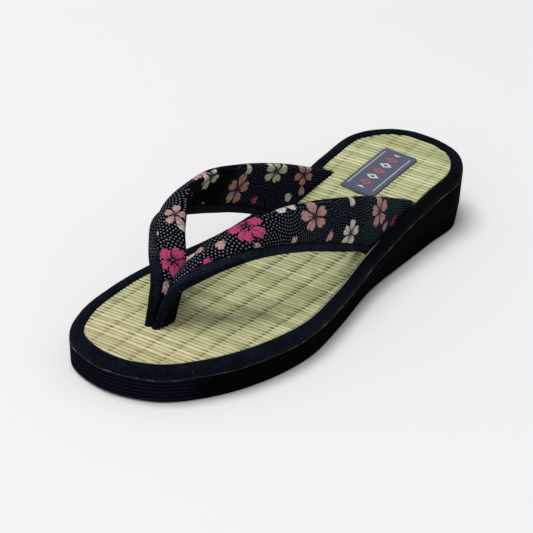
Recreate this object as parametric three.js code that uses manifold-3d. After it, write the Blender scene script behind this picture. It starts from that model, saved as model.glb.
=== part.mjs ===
// Zori sandal, left foot: a wedge sole, a bound footbed with a rush mat, and a padded thong strap.
// Millimetres. The toe points to -Y, +X is the outer side of the foot, and the sole stands on z = 0.
import * as THREE from 'three';
import { mergeVertices } from 'three/addons/utils/BufferGeometryUtils.js';
import Module from 'manifold-3d';

const wasm = await Module();
wasm.setup();

// Sole
const LENGTH = 240;
const BALL_WIDTH = 84;
const HEEL_WIDTH = 63;
const FOREFOOT_HEIGHT = 15.5;
const HEEL_HEIGHT = 30.3;
const SOLE_TAPER = 1.0;
const SOLE_EDGE = 0.9;
const ARCH_LIFT = 1.2;
const TOE_SPRING = 0.8;
const RIB_COUNT = 5;
const RIB_PITCH = 1.7;
const RIB_DEPTH = 0.4;
const RIB_START = 1.9;

// Footbed: a board, the rush mat on it and the cloth binding round both
const MAT_THICKNESS = 1.3;
const BINDING_SIDE = 4.4;
const BINDING_WIDTH = 5.7;
const BINDING_WALL = 1.3;
const BINDING_CROWN = 0.6;
const LABEL_WIDTH = 18.2;
const LABEL_LENGTH = 38.6;
const LABEL_THICKNESS = 0.7;
const LABEL_CORNER = 0.8;

// Strap: two padded arms that meet in the toe post, each with a rolled edging along its front
const POST_LENGTH = 12.4;
const STRAP_THICKNESS = 4.2;
const STRAP_CROWN = 0.5;
const STRAP_BOW = 1.4;
const STRAP_RISE = 42;
const ARM_JOIN = 0.25;
const EDGING_WIDTH = 5.2;
const EDGING_THICKNESS = 4.6;
const POST_EDGING_WIDTH = 3.6;
const EDGING_PINCH = 0.8;

// Clearance between pieces that lie against each other
const GAP = 0.3;

// Steps of the faceted surfaces
const OUTLINE_STEPS = 60;
const CURVE_SAMPLES = 1600;
const ARM_STEPS = 30;
const LABEL_STEPS = 5;
const ROOT_CHECKS = 10;

// Plan outline: places from the toe as shares of the length, half widths as shares of the width named
const OUTLINE = [
  { along: 0.03, width: BALL_WIDTH, outer: 0.204, inner: 0.326 },
  { along: 0.10, width: BALL_WIDTH, outer: 0.370, inner: 0.429 },
  { along: 0.20, width: BALL_WIDTH, outer: 0.488, inner: 0.466 },
  { along: 0.32, width: BALL_WIDTH, outer: 0.536, inner: 0.462 },
  { along: 0.45, width: BALL_WIDTH, outer: 0.486, inner: 0.413 },
  { along: 0.58, width: HEEL_WIDTH, outer: 0.556, inner: 0.498 },
  { along: 0.70, width: HEEL_WIDTH, outer: 0.514, inner: 0.476 },
  { along: 0.82, width: HEEL_WIDTH, outer: 0.492, inner: 0.502 },
  { along: 0.92, width: HEEL_WIDTH, outer: 0.470, inner: 0.484 },
  { along: 0.98, width: HEEL_WIDTH, outer: 0.300, inner: 0.297 },
];
const TOE_TIP = -0.054 * BALL_WIDTH;
const HEEL_TIP = -0.040 * HEEL_WIDTH;

// Side profile: the mat's rise from forefoot to heel height, and the bound edge as a share of its height
const PROFILE = [
  { along: 0.00, rise: -0.020, side: 0.95 },
  { along: 0.10, rise: 0.014, side: 1.00 },
  { along: 0.25, rise: 0.020, side: 1.00 },
  { along: 0.40, rise: -0.040, side: 0.70 },
  { along: 0.50, rise: -0.020, side: 0.66 },
  { along: 0.60, rise: 0.142, side: 0.70 },
  { along: 0.70, rise: 0.395, side: 0.72 },
  { along: 0.80, rise: 0.620, side: 0.82 },
  { along: 0.90, rise: 0.815, side: 0.94 },
  { along: 1.00, rise: 1.000, side: 1.20 },
];
const ARCH = { middle: 0.575, reach: 0.16 };
const SPRING_REACH = 0.08;

// Binding section: inset from the outline as a share of the wall, and height above the seam as a
// share of the bound edge
const BINDING_OUTSIDE = [
  { inset: 0.385, height: 0.00 },
  { inset: 0.000, height: 0.25 },
  { inset: 0.154, height: 0.68 },
  { inset: 0.846, height: 1.00 },
];

// Its rim over the board: place across the binding, and height over the mat as a share of the crown
const BINDING_RIM = [
  { across: 0.50, crown: 1.0 },
  { across: 0.88, crown: 0.7 },
  { across: 1.00, crown: -0.4 },
];

// Strap: the middle of the toe post, the roots of the arms, and the label's place, from the toe
const POST = { along: 0.157, across: -0.060 * BALL_WIDTH };
const ROOT = { front: 0.592, rear: 0.781 };
const LABEL = { along: 0.827, across: -0.022 * HEEL_WIDTH };

// The arm's front and rear edges at mid thickness between post and root: place along the sandal,
// spread from the strap's own middle as a share of the roots', and height above the mat over the rise
const ARM_FRONT = [
  { along: 0.160, spread: 0.241, height: 0.362 },
  { along: 0.200, spread: 0.602, height: 0.543 },
  { along: 0.253, spread: 0.924, height: 0.652 },
  { along: 0.328, spread: 1.021, height: 0.602 },
  { along: 0.417, spread: 1.033, height: 0.455 },
  { along: 0.513, spread: 1.070, height: 0.233 },
];
const ARM_REAR = [
  { along: 0.221, spread: 0.010, height: 0.440 },
  { along: 0.257, spread: 0.311, height: 0.790 },
  { along: 0.312, spread: 0.645, height: 0.976 },
  { along: 0.395, spread: 0.870, height: 1.000 },
  { along: 0.503, spread: 0.928, height: 0.845 },
  { along: 0.629, spread: 0.901, height: 0.521 },
];

// Places across the edging and the padding, as shares, and inside the rear fold, as shares of its radius
const EDGING_PLACES = [0.0, 0.06, 0.22, 0.5, 1.0];
const PADDING_PLACES = [0.0, 0.25, 0.5, 0.75];
const FOLD_PLACES = [1.0, 0.5, 0.12, 0.0];
const EDGING_GROWTH = 0.18;

const fromToe = (along) => (along - 0.5) * LENGTH;
const alongAt = (y) => y / LENGTH + 0.5;
const lerp = THREE.MathUtils.lerp;
const clamp = THREE.MathUtils.clamp;

// Smooth curve through one column of a table, read at a place along the sandal
function follow(table, column, along) {
  const last = table.length - 2;
  let i = 0;
  while (i < last && along > table[i + 1].along) i += 1;
  const slope = (k) => {
    const before = table[Math.max(k - 1, 0)];
    const after = table[Math.min(k + 1, table.length - 1)];
    return (after[column] - before[column]) / (after.along - before.along);
  };
  const span = table[i + 1].along - table[i].along;
  const t = (along - table[i].along) / span;
  const h = t * t * (3 - 2 * t);
  const start = slope(i) * span * t * (1 - t) * (1 - t);
  const end = slope(i + 1) * span * t * t * (t - 1);
  return lerp(table[i][column], table[i + 1][column], h) + start + end;
}

// Heights over the floor: the mat's top, the seam under the binding, and the sole's own underside
function matHeight(y) {
  return lerp(FOREFOOT_HEIGHT, HEEL_HEIGHT, follow(PROFILE, 'rise', alongAt(y)));
}

function seamHeight(y) {
  return matHeight(y) - BINDING_SIDE * follow(PROFILE, 'side', alongAt(y));
}

function underside(y) {
  const arch = Math.max(0, 1 - ((alongAt(y) - ARCH.middle) / ARCH.reach) ** 2);
  const spring = Math.max(0, 1 - alongAt(y) / SPRING_REACH);
  return ARCH_LIFT * arch * arch + TOE_SPRING * spring * spring;
}

// Outline points from the toe tip down the outer side to the heel tip and back up the inner side.
// Partners on the two sides share one place along the sandal, so a surface can run straight across.
function makeOutline() {
  const outer = OUTLINE.map((row) => new THREE.Vector3(row.outer * row.width, fromToe(row.along), 0));
  const inner = OUTLINE.map((row) => new THREE.Vector3(-row.inner * row.width, fromToe(row.along), 0));
  const toe = new THREE.Vector3(TOE_TIP, fromToe(0), 0);
  const heel = new THREE.Vector3(HEEL_TIP, fromToe(1), 0);
  const loop = [toe, ...outer, heel, ...inner.reverse()];
  const curve = new THREE.CatmullRomCurve3(loop, true, 'centripetal');
  const samples = curve.getPoints(CURVE_SAMPLES);
  const heelIndex = samples.reduce((best, p, k) => (p.y > samples[best].y ? k : best), 0);
  const sides = [samples.slice(0, heelIndex + 1), samples.slice(heelIndex).reverse()];
  const across = (side, y) => {
    const k = clamp(side.findIndex((p) => p.y >= y), 1, side.length - 1);
    const t = (y - side[k - 1].y) / (side[k].y - side[k - 1].y);
    return lerp(side[k - 1].x, side[k].x, clamp(t, 0, 1));
  };
  const places = [];
  for (let i = 0; i <= OUTLINE_STEPS; i += 1) {
    places.push(fromToe((1 - Math.cos((Math.PI * i) / OUTLINE_STEPS)) / 2));
  }
  const points = places.map((y) => new THREE.Vector2(across(sides[0], y), y));
  for (let i = OUTLINE_STEPS - 1; i > 0; i -= 1) {
    points.push(new THREE.Vector2(across(sides[1], places[i]), places[i]));
  }
  return points;
}

const outline = makeOutline();
const POINTS = outline.length;

function inset(distance) {
  return outline.map((p, i) => {
    const before = outline[(i + POINTS - 1) % POINTS];
    const after = outline[(i + 1) % POINTS];
    const along = after.clone().sub(before).normalize();
    return new THREE.Vector2(p.x - along.y * distance, p.y + along.x * distance);
  });
}

// The footbed's edge at a place along the sandal, on the outer (1) or inner (-1) side
function edgeAt(distance, side, y) {
  const points = inset(distance);
  const backwards = [points[0], ...points.slice(OUTLINE_STEPS).reverse()];
  const half = side > 0 ? points.slice(0, OUTLINE_STEPS + 1) : backwards;
  const k = clamp(half.findIndex((p) => p.y >= y), 1, half.length - 1);
  const t = (y - half[k - 1].y) / (half[k].y - half[k - 1].y);
  return lerp(half[k - 1].x, half[k].x, t);
}

// A ring of points at an inset, each at the height that a function of y gives
function ring(distance, height) {
  return inset(distance).map((p) => new THREE.Vector3(p.x, p.y, height(p.y)));
}

function geometryOf(rings, faces) {
  const geometry = new THREE.BufferGeometry();
  const positions = rings.flat().flatMap((p) => [p.x, p.y, p.z]);
  geometry.setAttribute('position', new THREE.Float32BufferAttribute(positions, 3));
  geometry.setIndex(faces);
  return geometry;
}

// Walls between rings that lie one over the next, each ring turning anticlockwise seen from above
function wallFaces(ringCount, size, wrap) {
  const faces = [];
  const last = wrap ? ringCount : ringCount - 1;
  for (let k = 0; k < last; k += 1) {
    const low = k * size;
    const high = ((k + 1) % ringCount) * size;
    for (let i = 0; i < size; i += 1) {
      const j = (i + 1) % size;
      faces.push(low + i, low + j, high + j);
      faces.push(low + i, high + j, high + i);
    }
  }
  return faces;
}

// A solid of rings from the bottom up, closed by straight strips between partners on its two sides
function slab(rings) {
  const size = rings[0].length;
  const faces = wallFaces(rings.length, size, false);
  const top = (rings.length - 1) * size;
  for (let near = 0; near < size / 2; near += 1) {
    const next = near + 1;
    const far = (size - near) % size;
    const farNext = size - next;
    if (near !== far) {
      faces.push(near, far, next);
      faces.push(top + near, top + next, top + far);
    }
    if (next !== farNext) {
      faces.push(far, farNext, next);
      faces.push(top + far, top + next, top + farNext);
    }
  }
  return geometryOf(rings, faces);
}

// A closed band whose section runs round through the rings in order
function band(rings) {
  return geometryOf(rings, wallFaces(rings.length, rings[0].length, true));
}

function toSolid(geometry) {
  let merged = geometry;
  if (!geometry.index) {
    geometry.deleteAttribute('normal');
    geometry.deleteAttribute('uv');
    merged = mergeVertices(geometry);
  }
  return new wasm.Manifold(new wasm.Mesh({
    numProp: 3,
    vertProperties: Float32Array.from(merged.attributes.position.array),
    triVerts: Uint32Array.from(merged.index.array),
  }));
}

function toGeometry(solid) {
  const mesh = solid.getMesh();
  const geometry = new THREE.BufferGeometry();
  geometry.setAttribute('position', new THREE.Float32BufferAttribute(mesh.vertProperties, 3));
  geometry.setIndex(Array.from(mesh.triVerts));
  return geometry;
}

// Outsole: a tapered wedge with a rounded lower edge and fine ribs round its lower wall
function makeOutsole() {
  const lean = (height) => SOLE_TAPER * Math.max(0, 1 - height / seamHeight(fromToe(0)));
  const raised = (height) => (y) => Math.max(height, underside(y) + height / 2);
  const rings = [
    ring(SOLE_TAPER + SOLE_EDGE, underside),
    ring(lean(SOLE_EDGE), (y) => underside(y) + SOLE_EDGE),
  ];
  for (let k = 0; k < RIB_COUNT; k += 1) {
    const crest = RIB_START + k * RIB_PITCH;
    const groove = crest + RIB_PITCH / 2;
    rings.push(ring(lean(crest), raised(crest)));
    rings.push(ring(lean(groove) + RIB_DEPTH, raised(groove)));
  }
  const closing = RIB_START + RIB_COUNT * RIB_PITCH;
  rings.push(ring(lean(closing), (y) => Math.min(closing, seamHeight(y) - GAP)));
  rings.push(ring(0, (y) => seamHeight(y) - GAP / 2));
  return slab(rings);
}

// Board under the mat and inside the binding's wall
function makeBoard() {
  const edge = BINDING_WALL + GAP;
  const low = ring(edge, (y) => seamHeight(y) + GAP / 2);
  const high = ring(edge, (y) => matHeight(y) - MAT_THICKNESS - GAP);
  return slab([low, high]);
}

// Binding: down the footbed's side from a rolled rim that laps over the board, and open underneath
function makeBinding() {
  const low = (y) => seamHeight(y) + GAP / 2;
  const overMat = (rise) => (y) => matHeight(y) + rise;
  const outside = BINDING_OUTSIDE.map((row) => (
    ring(row.inset * BINDING_WALL, (y) => lerp(low(y), matHeight(y), row.height))
  ));
  const rim = BINDING_RIM.map((row) => ring(row.across * BINDING_WIDTH, overMat(row.crown * BINDING_CROWN)));
  const inside = [
    ring(BINDING_WIDTH, overMat(-MAT_THICKNESS)),
    ring(BINDING_WALL, overMat(-MAT_THICKNESS)),
    ring(BINDING_WALL, low),
  ];
  return band([...outside, ...rim, ...inside]);
}

// The strap's middle line runs from the post to halfway between the roots, and the arms spread from it
const matEdge = (side, y) => edgeAt(BINDING_WIDTH + GAP, side, y);
const rootMiddle = fromToe((ROOT.front + ROOT.rear) / 2);
const rootCentre = (matEdge(1, rootMiddle) + matEdge(-1, rootMiddle)) / 2;
const rootSpread = (matEdge(1, rootMiddle) - matEdge(-1, rootMiddle)) / 2;
const postMiddle = fromToe(POST.along);
const rootHalf = Math.max(STRAP_THICKNESS / 2 + STRAP_CROWN, EDGING_THICKNESS / 2);

function strapMiddle(y) {
  return lerp(POST.across, rootCentre, (y - postMiddle) / (rootMiddle - postMiddle));
}

// The straight root of an arm against the mat's edge: spreads of its front and rear ends
function rootLine(side) {
  const spreadAt = (along) => side * (matEdge(side, fromToe(along)) - strapMiddle(fromToe(along)));
  let bulge = 0;
  for (let k = 0; k <= ROOT_CHECKS; k += 1) {
    const t = k / ROOT_CHECKS;
    const straight = lerp(spreadAt(ROOT.front), spreadAt(ROOT.rear), t);
    bulge = Math.max(bulge, straight - spreadAt(lerp(ROOT.front, ROOT.rear, t)));
  }
  return {
    front: spreadAt(ROOT.front) - bulge - rootHalf,
    rear: spreadAt(ROOT.rear) - bulge - rootHalf,
  };
}

// One edge of an arm, from the board up through the post, over the foot and down to the board again.
// A point holds the spread from the strap's middle, the place along the sandal, and the height.
function armEdge(table, postEnd, rootEnd, rootAcross) {
  const seat = (y) => matHeight(y) - MAT_THICKNESS;
  const postAcross = STRAP_THICKNESS / 2 - ARM_JOIN;
  const free = table.map((row) => {
    const y = fromToe(row.along);
    return new THREE.Vector3(row.spread * rootSpread, y, matHeight(y) + row.height * STRAP_RISE);
  });
  const over = new THREE.CatmullRomCurve3([
    new THREE.Vector3(postAcross, postEnd, matHeight(postEnd)),
    ...free,
    new THREE.Vector3(rootAcross, rootEnd, matHeight(rootEnd)),
  ], false, 'centripetal').getPoints(CURVE_SAMPLES);
  const points = [new THREE.Vector3(postAcross, postEnd, seat(postEnd))];
  for (let k = 0; k <= ARM_STEPS; k += 1) {
    points.push(over[Math.round((k / ARM_STEPS) * CURVE_SAMPLES)]);
  }
  points.push(new THREE.Vector3(rootAcross, rootEnd, seat(rootEnd)));
  return points;
}

// Stations of an arm: its front edge, its width, its outward normal, and how far along it lies
function armStations(side) {
  const root = rootLine(side);
  const front = armEdge(ARM_FRONT, postMiddle - POST_LENGTH / 2, fromToe(ROOT.front), root.front);
  const rear = armEdge(ARM_REAR, postMiddle + POST_LENGTH / 2, fromToe(ROOT.rear), root.rear);
  const middle = front.map((p, k) => p.clone().add(rear[k]).multiplyScalar(0.5));
  return front.map((p, k) => {
    const before = middle[Math.max(k - 1, 0)];
    const after = middle[Math.min(k + 1, middle.length - 1)];
    const across = rear[k].clone().sub(p);
    const normal = after.clone().sub(before).cross(across).normalize();
    const share = clamp((k - 1) / ARM_STEPS, 0, 1);
    return { front: p, width: across.length(), across: across.normalize(), normal, share };
  });
}

// A point of a station: u back from its front edge, and off the bowed middle surface
function stationPoint(station, u, off, side) {
  const bow = STRAP_BOW * Math.sin(Math.PI * station.share) * Math.sin((Math.PI * u) / station.width);
  const p = station.front.clone().addScaledVector(station.across, u);
  p.addScaledVector(station.normal, bow + off);
  return new THREE.Vector3(strapMiddle(p.y) + side * p.x, p.y, p.z);
}

// Height of a rounded edge's skin over the middle surface, at a distance in from the edge
function roundEdge(distance, half) {
  const t = Math.max(0, 1 - distance / half);
  return half * Math.sqrt(1 - t * t);
}

// A solid through an arm's sections, with flat ends
function loft(sections, side) {
  const size = sections[0].length;
  const faces = wallFaces(sections.length, size, false);
  const top = (sections.length - 1) * size;
  for (let i = 1; i < size - 1; i += 1) {
    faces.push(0, i + 1, i);
    faces.push(top, top + i, top + i + 1);
  }
  if (side > 0) faces.reverse();
  return geometryOf(sections, faces);
}

// A section of the arm through places across it, from the front, with its skin above and below.
// An end is either a point where the skins meet or a flat face with a point at its middle.
function section(station, side, places, above, below) {
  const open = places.filter((u) => below(u) > 0);
  const flatEnds = [places[0], places[places.length - 1]].filter((u) => below(u) > 0);
  const middle = (u) => (flatEnds.includes(u) ? [stationPoint(station, u, 0, side)] : []);
  return [
    ...places.map((u) => stationPoint(station, u, above(u), side)),
    ...middle(places[places.length - 1]),
    ...open.reverse().map((u) => stationPoint(station, u, -below(u), side)),
    ...middle(places[0]),
  ];
}

// The edging's reach back from the front edge and its half thickness, both smaller in the post
function edgingAt(station) {
  const t = clamp(station.share / EDGING_GROWTH, 0, 1);
  const postHalf = STRAP_THICKNESS / 2 - ARM_JOIN - GAP / 2;
  return {
    width: lerp(POST_EDGING_WIDTH, EDGING_WIDTH, t),
    half: lerp(postHalf, EDGING_THICKNESS / 2, t),
  };
}

// Edging: a rolled cloth tube along the front of the arm, pinched where the padding begins
function makeEdging(side) {
  return loft(armStations(side).map((station) => {
    const { width, half } = edgingAt(station);
    const places = EDGING_PLACES.map((t) => t * width);
    const skin = (u) => (u < width ? roundEdge(u, half) : half * EDGING_PINCH);
    return section(station, side, places, skin, skin);
  }), side);
}

// Padded arm behind the edging, crowned on its outer face and folded round at the rear
function makeArm(side) {
  const half = STRAP_THICKNESS / 2;
  return loft(armStations(side).map((station) => {
    const start = edgingAt(station).width + GAP;
    const end = station.width;
    const flat = PADDING_PLACES.map((t) => lerp(start, end - half, t));
    const fold = FOLD_PLACES.map((t) => end - half * t);
    const skin = (u) => roundEdge(end - u, half);
    const crown = (u) => STRAP_CROWN * Math.sin((Math.PI * (u - start)) / (end - start));
    return section(station, side, [...flat, ...fold], (u) => skin(u) + crown(u), skin);
  }), side);
}

function makeStrap() {
  return toGeometry(toSolid(makeArm(1)).add(toSolid(makeArm(-1))));
}

// Upright cutter over a plan shape
function cutter(points) {
  const depth = HEEL_HEIGHT * 2;
  return toSolid(new THREE.ExtrudeGeometry(new THREE.Shape(points), { depth, bevelEnabled: false }));
}

// Slot for the toe post, slanted as the strap's middle line is
function postSlot() {
  const half = STRAP_THICKNESS - ARM_JOIN + GAP;
  const ends = [postMiddle - POST_LENGTH / 2 - GAP, postMiddle + POST_LENGTH / 2 + GAP];
  const corner = (side, y) => new THREE.Vector2(strapMiddle(y) + side * half, y);
  return cutter([corner(-1, ends[0]), corner(1, ends[0]), corner(1, ends[1]), corner(-1, ends[1])]);
}

// Notch for an arm's root, open to the binding
function rootNotch(side) {
  const root = rootLine(side);
  const front = fromToe(ROOT.front) - GAP;
  const rear = fromToe(ROOT.rear) + GAP;
  const inward = rootHalf + GAP;
  const outward = rootHalf + BINDING_WIDTH;
  const corner = (across, y) => new THREE.Vector2(strapMiddle(y) + side * across, y);
  return cutter([
    corner(root.front - inward, front),
    corner(root.front + outward, front),
    corner(root.rear + outward, rear),
    corner(root.rear - inward, rear),
  ]);
}

// Rush mat inside the binding, with the post's slot and the roots' notches
function makeMat() {
  const edge = BINDING_WIDTH + GAP;
  const low = ring(edge, (y) => matHeight(y) - MAT_THICKNESS);
  const whole = toSolid(slab([low, ring(edge, matHeight)]));
  return toGeometry(whole.subtract(postSlot()).subtract(rootNotch(1)).subtract(rootNotch(-1)));
}

// Label patch lying on the mat, with clipped corners
function makeLabel() {
  const half = LABEL_WIDTH / 2;
  const middle = fromToe(LABEL.along);
  const end = LABEL_LENGTH / 2;
  const side = [[half - LABEL_CORNER, -end]];
  for (let k = 0; k <= LABEL_STEPS; k += 1) {
    side.push([half, lerp(LABEL_CORNER - end, end - LABEL_CORNER, k / LABEL_STEPS)]);
  }
  side.push([half - LABEL_CORNER, end]);
  const mirrored = side.map(([x, y]) => [-x, y]).reverse();
  const plan = [[0, -end], ...side, [0, end], ...mirrored];
  const at = (lift) => plan.map(([x, y]) => {
    const place = middle + y;
    return new THREE.Vector3(LABEL.across + x, place, matHeight(place) + lift);
  });
  return slab([at(GAP), at(GAP + LABEL_THICKNESS)]);
}

const FINISH = {
  foam: { color: 0x14171d, roughness: 0.75, metalness: 0 },
  board: { color: 0x3a3732, roughness: 0.9, metalness: 0 },
  rush: { color: 0xb9b78d, roughness: 0.8, metalness: 0 },
  velvet: { color: 0x1d2238, roughness: 0.95, metalness: 0 },
  print: { color: 0x23242b, roughness: 0.85, metalness: 0 },
  label: { color: 0x4c5266, roughness: 0.8, metalness: 0 },
};

const sandal = new THREE.Group();

function addPiece(name, geometry, finish) {
  const piece = new THREE.Mesh(geometry, new THREE.MeshStandardMaterial(finish));
  piece.geometry.computeVertexNormals();
  piece.name = name;
  sandal.add(piece);
}

addPiece('outsole', makeOutsole(), FINISH.foam);
addPiece('footbed_board', makeBoard(), FINISH.board);
addPiece('edge_binding', makeBinding(), FINISH.velvet);
addPiece('rush_mat', makeMat(), FINISH.rush);
addPiece('label_patch', makeLabel(), FINISH.label);
addPiece('strap', makeStrap(), FINISH.print);
addPiece('strap_edging_outer', makeEdging(1), FINISH.velvet);
addPiece('strap_edging_inner', makeEdging(-1), FINISH.velvet);

// The origin lies on the floor under the middle of the sandal's width and length
const widths = outline.map((p) => p.x);
sandal.position.x = -(Math.max(...widths) + Math.min(...widths)) / 2;

export default sandal;
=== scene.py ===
"""Zori sandal, left foot: a ribbed foam sole, a rush mat in a navy binding and a padded, printed thong.

Metres. The toe points to -Y, +X is the outer side of the foot, and the sole stands on z = 0.
"""
import logging
import math
from collections.abc import Callable, Sequence
from dataclasses import dataclass, field
from enum import Enum

import bpy
import numpy as np
from mathutils import Matrix, Vector


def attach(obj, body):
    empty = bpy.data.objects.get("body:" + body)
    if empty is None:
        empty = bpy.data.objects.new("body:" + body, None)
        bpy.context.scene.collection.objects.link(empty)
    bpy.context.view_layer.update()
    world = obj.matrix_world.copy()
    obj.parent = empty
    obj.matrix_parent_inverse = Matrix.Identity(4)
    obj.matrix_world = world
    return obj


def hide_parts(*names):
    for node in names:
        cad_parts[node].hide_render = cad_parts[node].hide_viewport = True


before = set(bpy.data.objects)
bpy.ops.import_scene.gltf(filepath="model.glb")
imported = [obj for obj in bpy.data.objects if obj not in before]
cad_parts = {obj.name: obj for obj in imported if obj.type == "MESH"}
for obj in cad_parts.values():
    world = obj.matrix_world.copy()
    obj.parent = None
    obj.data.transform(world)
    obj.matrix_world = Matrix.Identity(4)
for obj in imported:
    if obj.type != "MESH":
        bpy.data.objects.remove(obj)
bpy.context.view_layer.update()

BODY = "root"
MM = 0.001
MERGE = 1e-7
SEED = 1207
PETALS = 5
LOG = logging.getLogger("zori")

Surface = np.ndarray
Height = Callable[[np.ndarray], np.ndarray]
Colour = tuple[float, float, float]
Outputs = dict[str | int, "Field"]


class Side(Enum):
    """Side of the foot."""

    OUTER = 1
    INNER = -1


class Face(Enum):
    """Face of a strap arm."""

    TOP = "top"
    LINING = "lining"


def lerp(start: np.ndarray | float, end: np.ndarray | float, t: np.ndarray | float) -> np.ndarray | float:
    """Value between two others, at a share of the way."""
    return start + (end - start) * t


def ease(t: np.ndarray | float) -> np.ndarray:
    """Smooth step from 0 to 1, held outside that range."""
    held = np.clip(t, 0.0, 1.0)
    return held * held * (3 - 2 * held)


def run_of(points: np.ndarray) -> np.ndarray:
    """Length run along a row of points, up to each of them."""
    return np.r_[0, np.cumsum(np.linalg.norm(np.diff(points, axis=0), axis=1))]


def centripetal(points: np.ndarray, steps: int, closed: bool) -> np.ndarray:
    """Points on a centripetal Catmull-Rom curve.

    Args:
        points: control points, one a row.
        steps: number of spans to return, evenly shared between the control points.
        closed: whether the curve runs back to its first point.

    Returns:
        steps + 1 points.
    """
    if closed:
        padded = np.vstack([points[-1:], points, points[:2]])
    else:
        padded = np.vstack([2 * points[:1] - points[1:2], points, 2 * points[-1:] - points[-2:-1]])
    spans = len(padded) - 3
    place = np.linspace(0, spans, steps + 1)
    k = np.minimum(place.astype(int), spans - 1)
    w = (place - k)[:, None]
    p0, p1, p2, p3 = (padded[k + n] for n in range(4))
    d0, d1, d2 = (np.linalg.norm(b - a, axis=1)[:, None] ** 0.5 for a, b in ((p0, p1), (p1, p2), (p2, p3)))
    t1 = ((p1 - p0) / d0 - (p2 - p0) / (d0 + d1) + (p2 - p1) / d1) * d1
    t2 = ((p2 - p1) / d1 - (p3 - p1) / (d1 + d2) + (p3 - p2) / d2) * d1
    bend = -3 * p1 + 3 * p2 - 2 * t1 - t2
    return p1 + t1 * w + bend * w**2 + (2 * p1 - 2 * p2 + t1 + t2) * w**3


def follow(table: np.ndarray, column: int, along: np.ndarray) -> np.ndarray:
    """Smooth curve through one column of a table.

    Args:
        table: rows of values, the first of which is the place along the sandal.
        column: the column to read.
        along: places along the sandal, as shares of its length from the toe.

    Returns:
        The column's value at each place.
    """
    places = table[:, 0]
    values = table[:, column]
    i = np.searchsorted(places[1:-1], along, side="left")
    before = np.maximum(np.arange(len(places)) - 1, 0)
    after = np.minimum(np.arange(len(places)) + 1, len(places) - 1)
    slope = (values[after] - values[before]) / (places[after] - places[before])
    span = places[i + 1] - places[i]
    t = (along - places[i]) / span
    start = slope[i] * span * t * (1 - t) ** 2
    end = slope[i + 1] * span * t * t * (t - 1)
    return lerp(values[i], values[i + 1], t * t * (3 - 2 * t)) + start + end


# Modelling


def deselect() -> None:
    """Deselects every object."""
    bpy.ops.object.select_all(action="DESELECT")


def wrap_grid(name: str, surface: Surface, plan: np.ndarray | None = None) -> bpy.types.Object:
    """Adds a grid and wraps it on a surface, with its meeting rows and columns joined.

    Args:
        name: the piece's name.
        surface: points in rows and columns, shape (rows, columns, 3).
        plan: flat coordinates of each point for the material, shape (rows, columns, 2).

    Returns:
        The piece, closed where its rows or columns meet, with faces outwards.
    """
    rows, columns = surface.shape[:2]
    deselect()
    bpy.ops.mesh.primitive_grid_add(x_subdivisions=columns - 1, y_subdivisions=rows - 1, size=1)
    piece = bpy.context.object
    piece.name = name
    mesh = piece.data
    mesh.name = name
    flat = np.empty(len(mesh.vertices) * 3)
    mesh.vertices.foreach_get("co", flat)
    flat = flat.reshape(-1, 3)
    column = np.rint((flat[:, 0] + 0.5) * (columns - 1)).astype(int)
    row = np.rint((flat[:, 1] + 0.5) * (rows - 1)).astype(int)
    mesh.vertices.foreach_set("co", surface[row, column].ravel())
    if plan is not None:
        corner = np.empty(len(mesh.loops), dtype=np.int32)
        mesh.loops.foreach_get("vertex_index", corner)
        mesh.uv_layers.active.name = "plan"
        mesh.uv_layers.active.data.foreach_set("uv", plan[row[corner], column[corner]].ravel())
    bpy.ops.object.mode_set(mode="EDIT")
    bpy.ops.mesh.select_all(action="SELECT")
    bpy.ops.mesh.remove_doubles(threshold=MERGE)
    bpy.ops.mesh.dissolve_degenerate(threshold=MERGE)
    bpy.ops.mesh.normals_make_consistent(inside=False)
    bpy.ops.object.mode_set(mode="OBJECT")
    bpy.ops.object.shade_smooth()
    return piece


def close_round(surface: Surface) -> Surface:
    """Repeats the first column at the end, so that the columns close."""
    return np.concatenate([surface, surface[:, :1]], axis=1)


def repeat_ends(plan: np.ndarray) -> np.ndarray:
    """Repeats the first and the last row."""
    return np.concatenate([plan[:1], plan, plan[-1:]])


def cap_ends(surface: Surface) -> Surface:
    """Adds a row at each end that gathers its columns in one point."""
    ends = [np.broadcast_to(row.mean(axis=0), row.shape)[None] for row in (surface[0], surface[-1])]
    return np.concatenate([ends[0], surface, ends[1]])


def finish_piece(
    piece: bpy.types.Object, material: bpy.types.Material | None, slot: str, *replaced: str
) -> bpy.types.Object:
    """Dresses a piece, seats it on the sandal's body and reports it.

    Args:
        piece: the finished mesh.
        material: its material, or None where it has its own.
        slot: the name of its material slot, which is logged.
        *replaced: the CAD nodes that it stands for.

    Returns:
        The piece.
    """
    if material is not None:
        piece.data.materials.clear()
        piece.data.materials.append(material)
    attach(piece, BODY)
    if replaced:
        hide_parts(*replaced)
    LOG.info("%s: %d faces, %s", piece.name, len(piece.data.polygons), slot)
    return piece


# Materials


class Field:
    """A node's output, with arithmetic that adds Math nodes."""

    def __init__(self, bench: "Bench", socket: bpy.types.NodeSocket) -> None:
        """Keeps the output and the bench that it is on."""
        self.bench = bench
        self.socket = socket

    def __add__(self, other: "Value") -> "Field":
        """Sum."""
        return self.bench.math("ADD", self, other)

    def __sub__(self, other: "Value") -> "Field":
        """Difference."""
        return self.bench.math("SUBTRACT", self, other)

    def __mul__(self, other: "Value") -> "Field":
        """Product."""
        return self.bench.math("MULTIPLY", self, other)

    def __truediv__(self, other: "Value") -> "Field":
        """Quotient."""
        return self.bench.math("DIVIDE", self, other)

    def __rtruediv__(self, other: "Value") -> "Field":
        """Quotient of a number and this."""
        return self.bench.math("DIVIDE", other, self)

    def __abs__(self) -> "Field":
        """Value without its sign."""
        return self.bench.math("ABSOLUTE", self)


Value = Field | float


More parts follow.
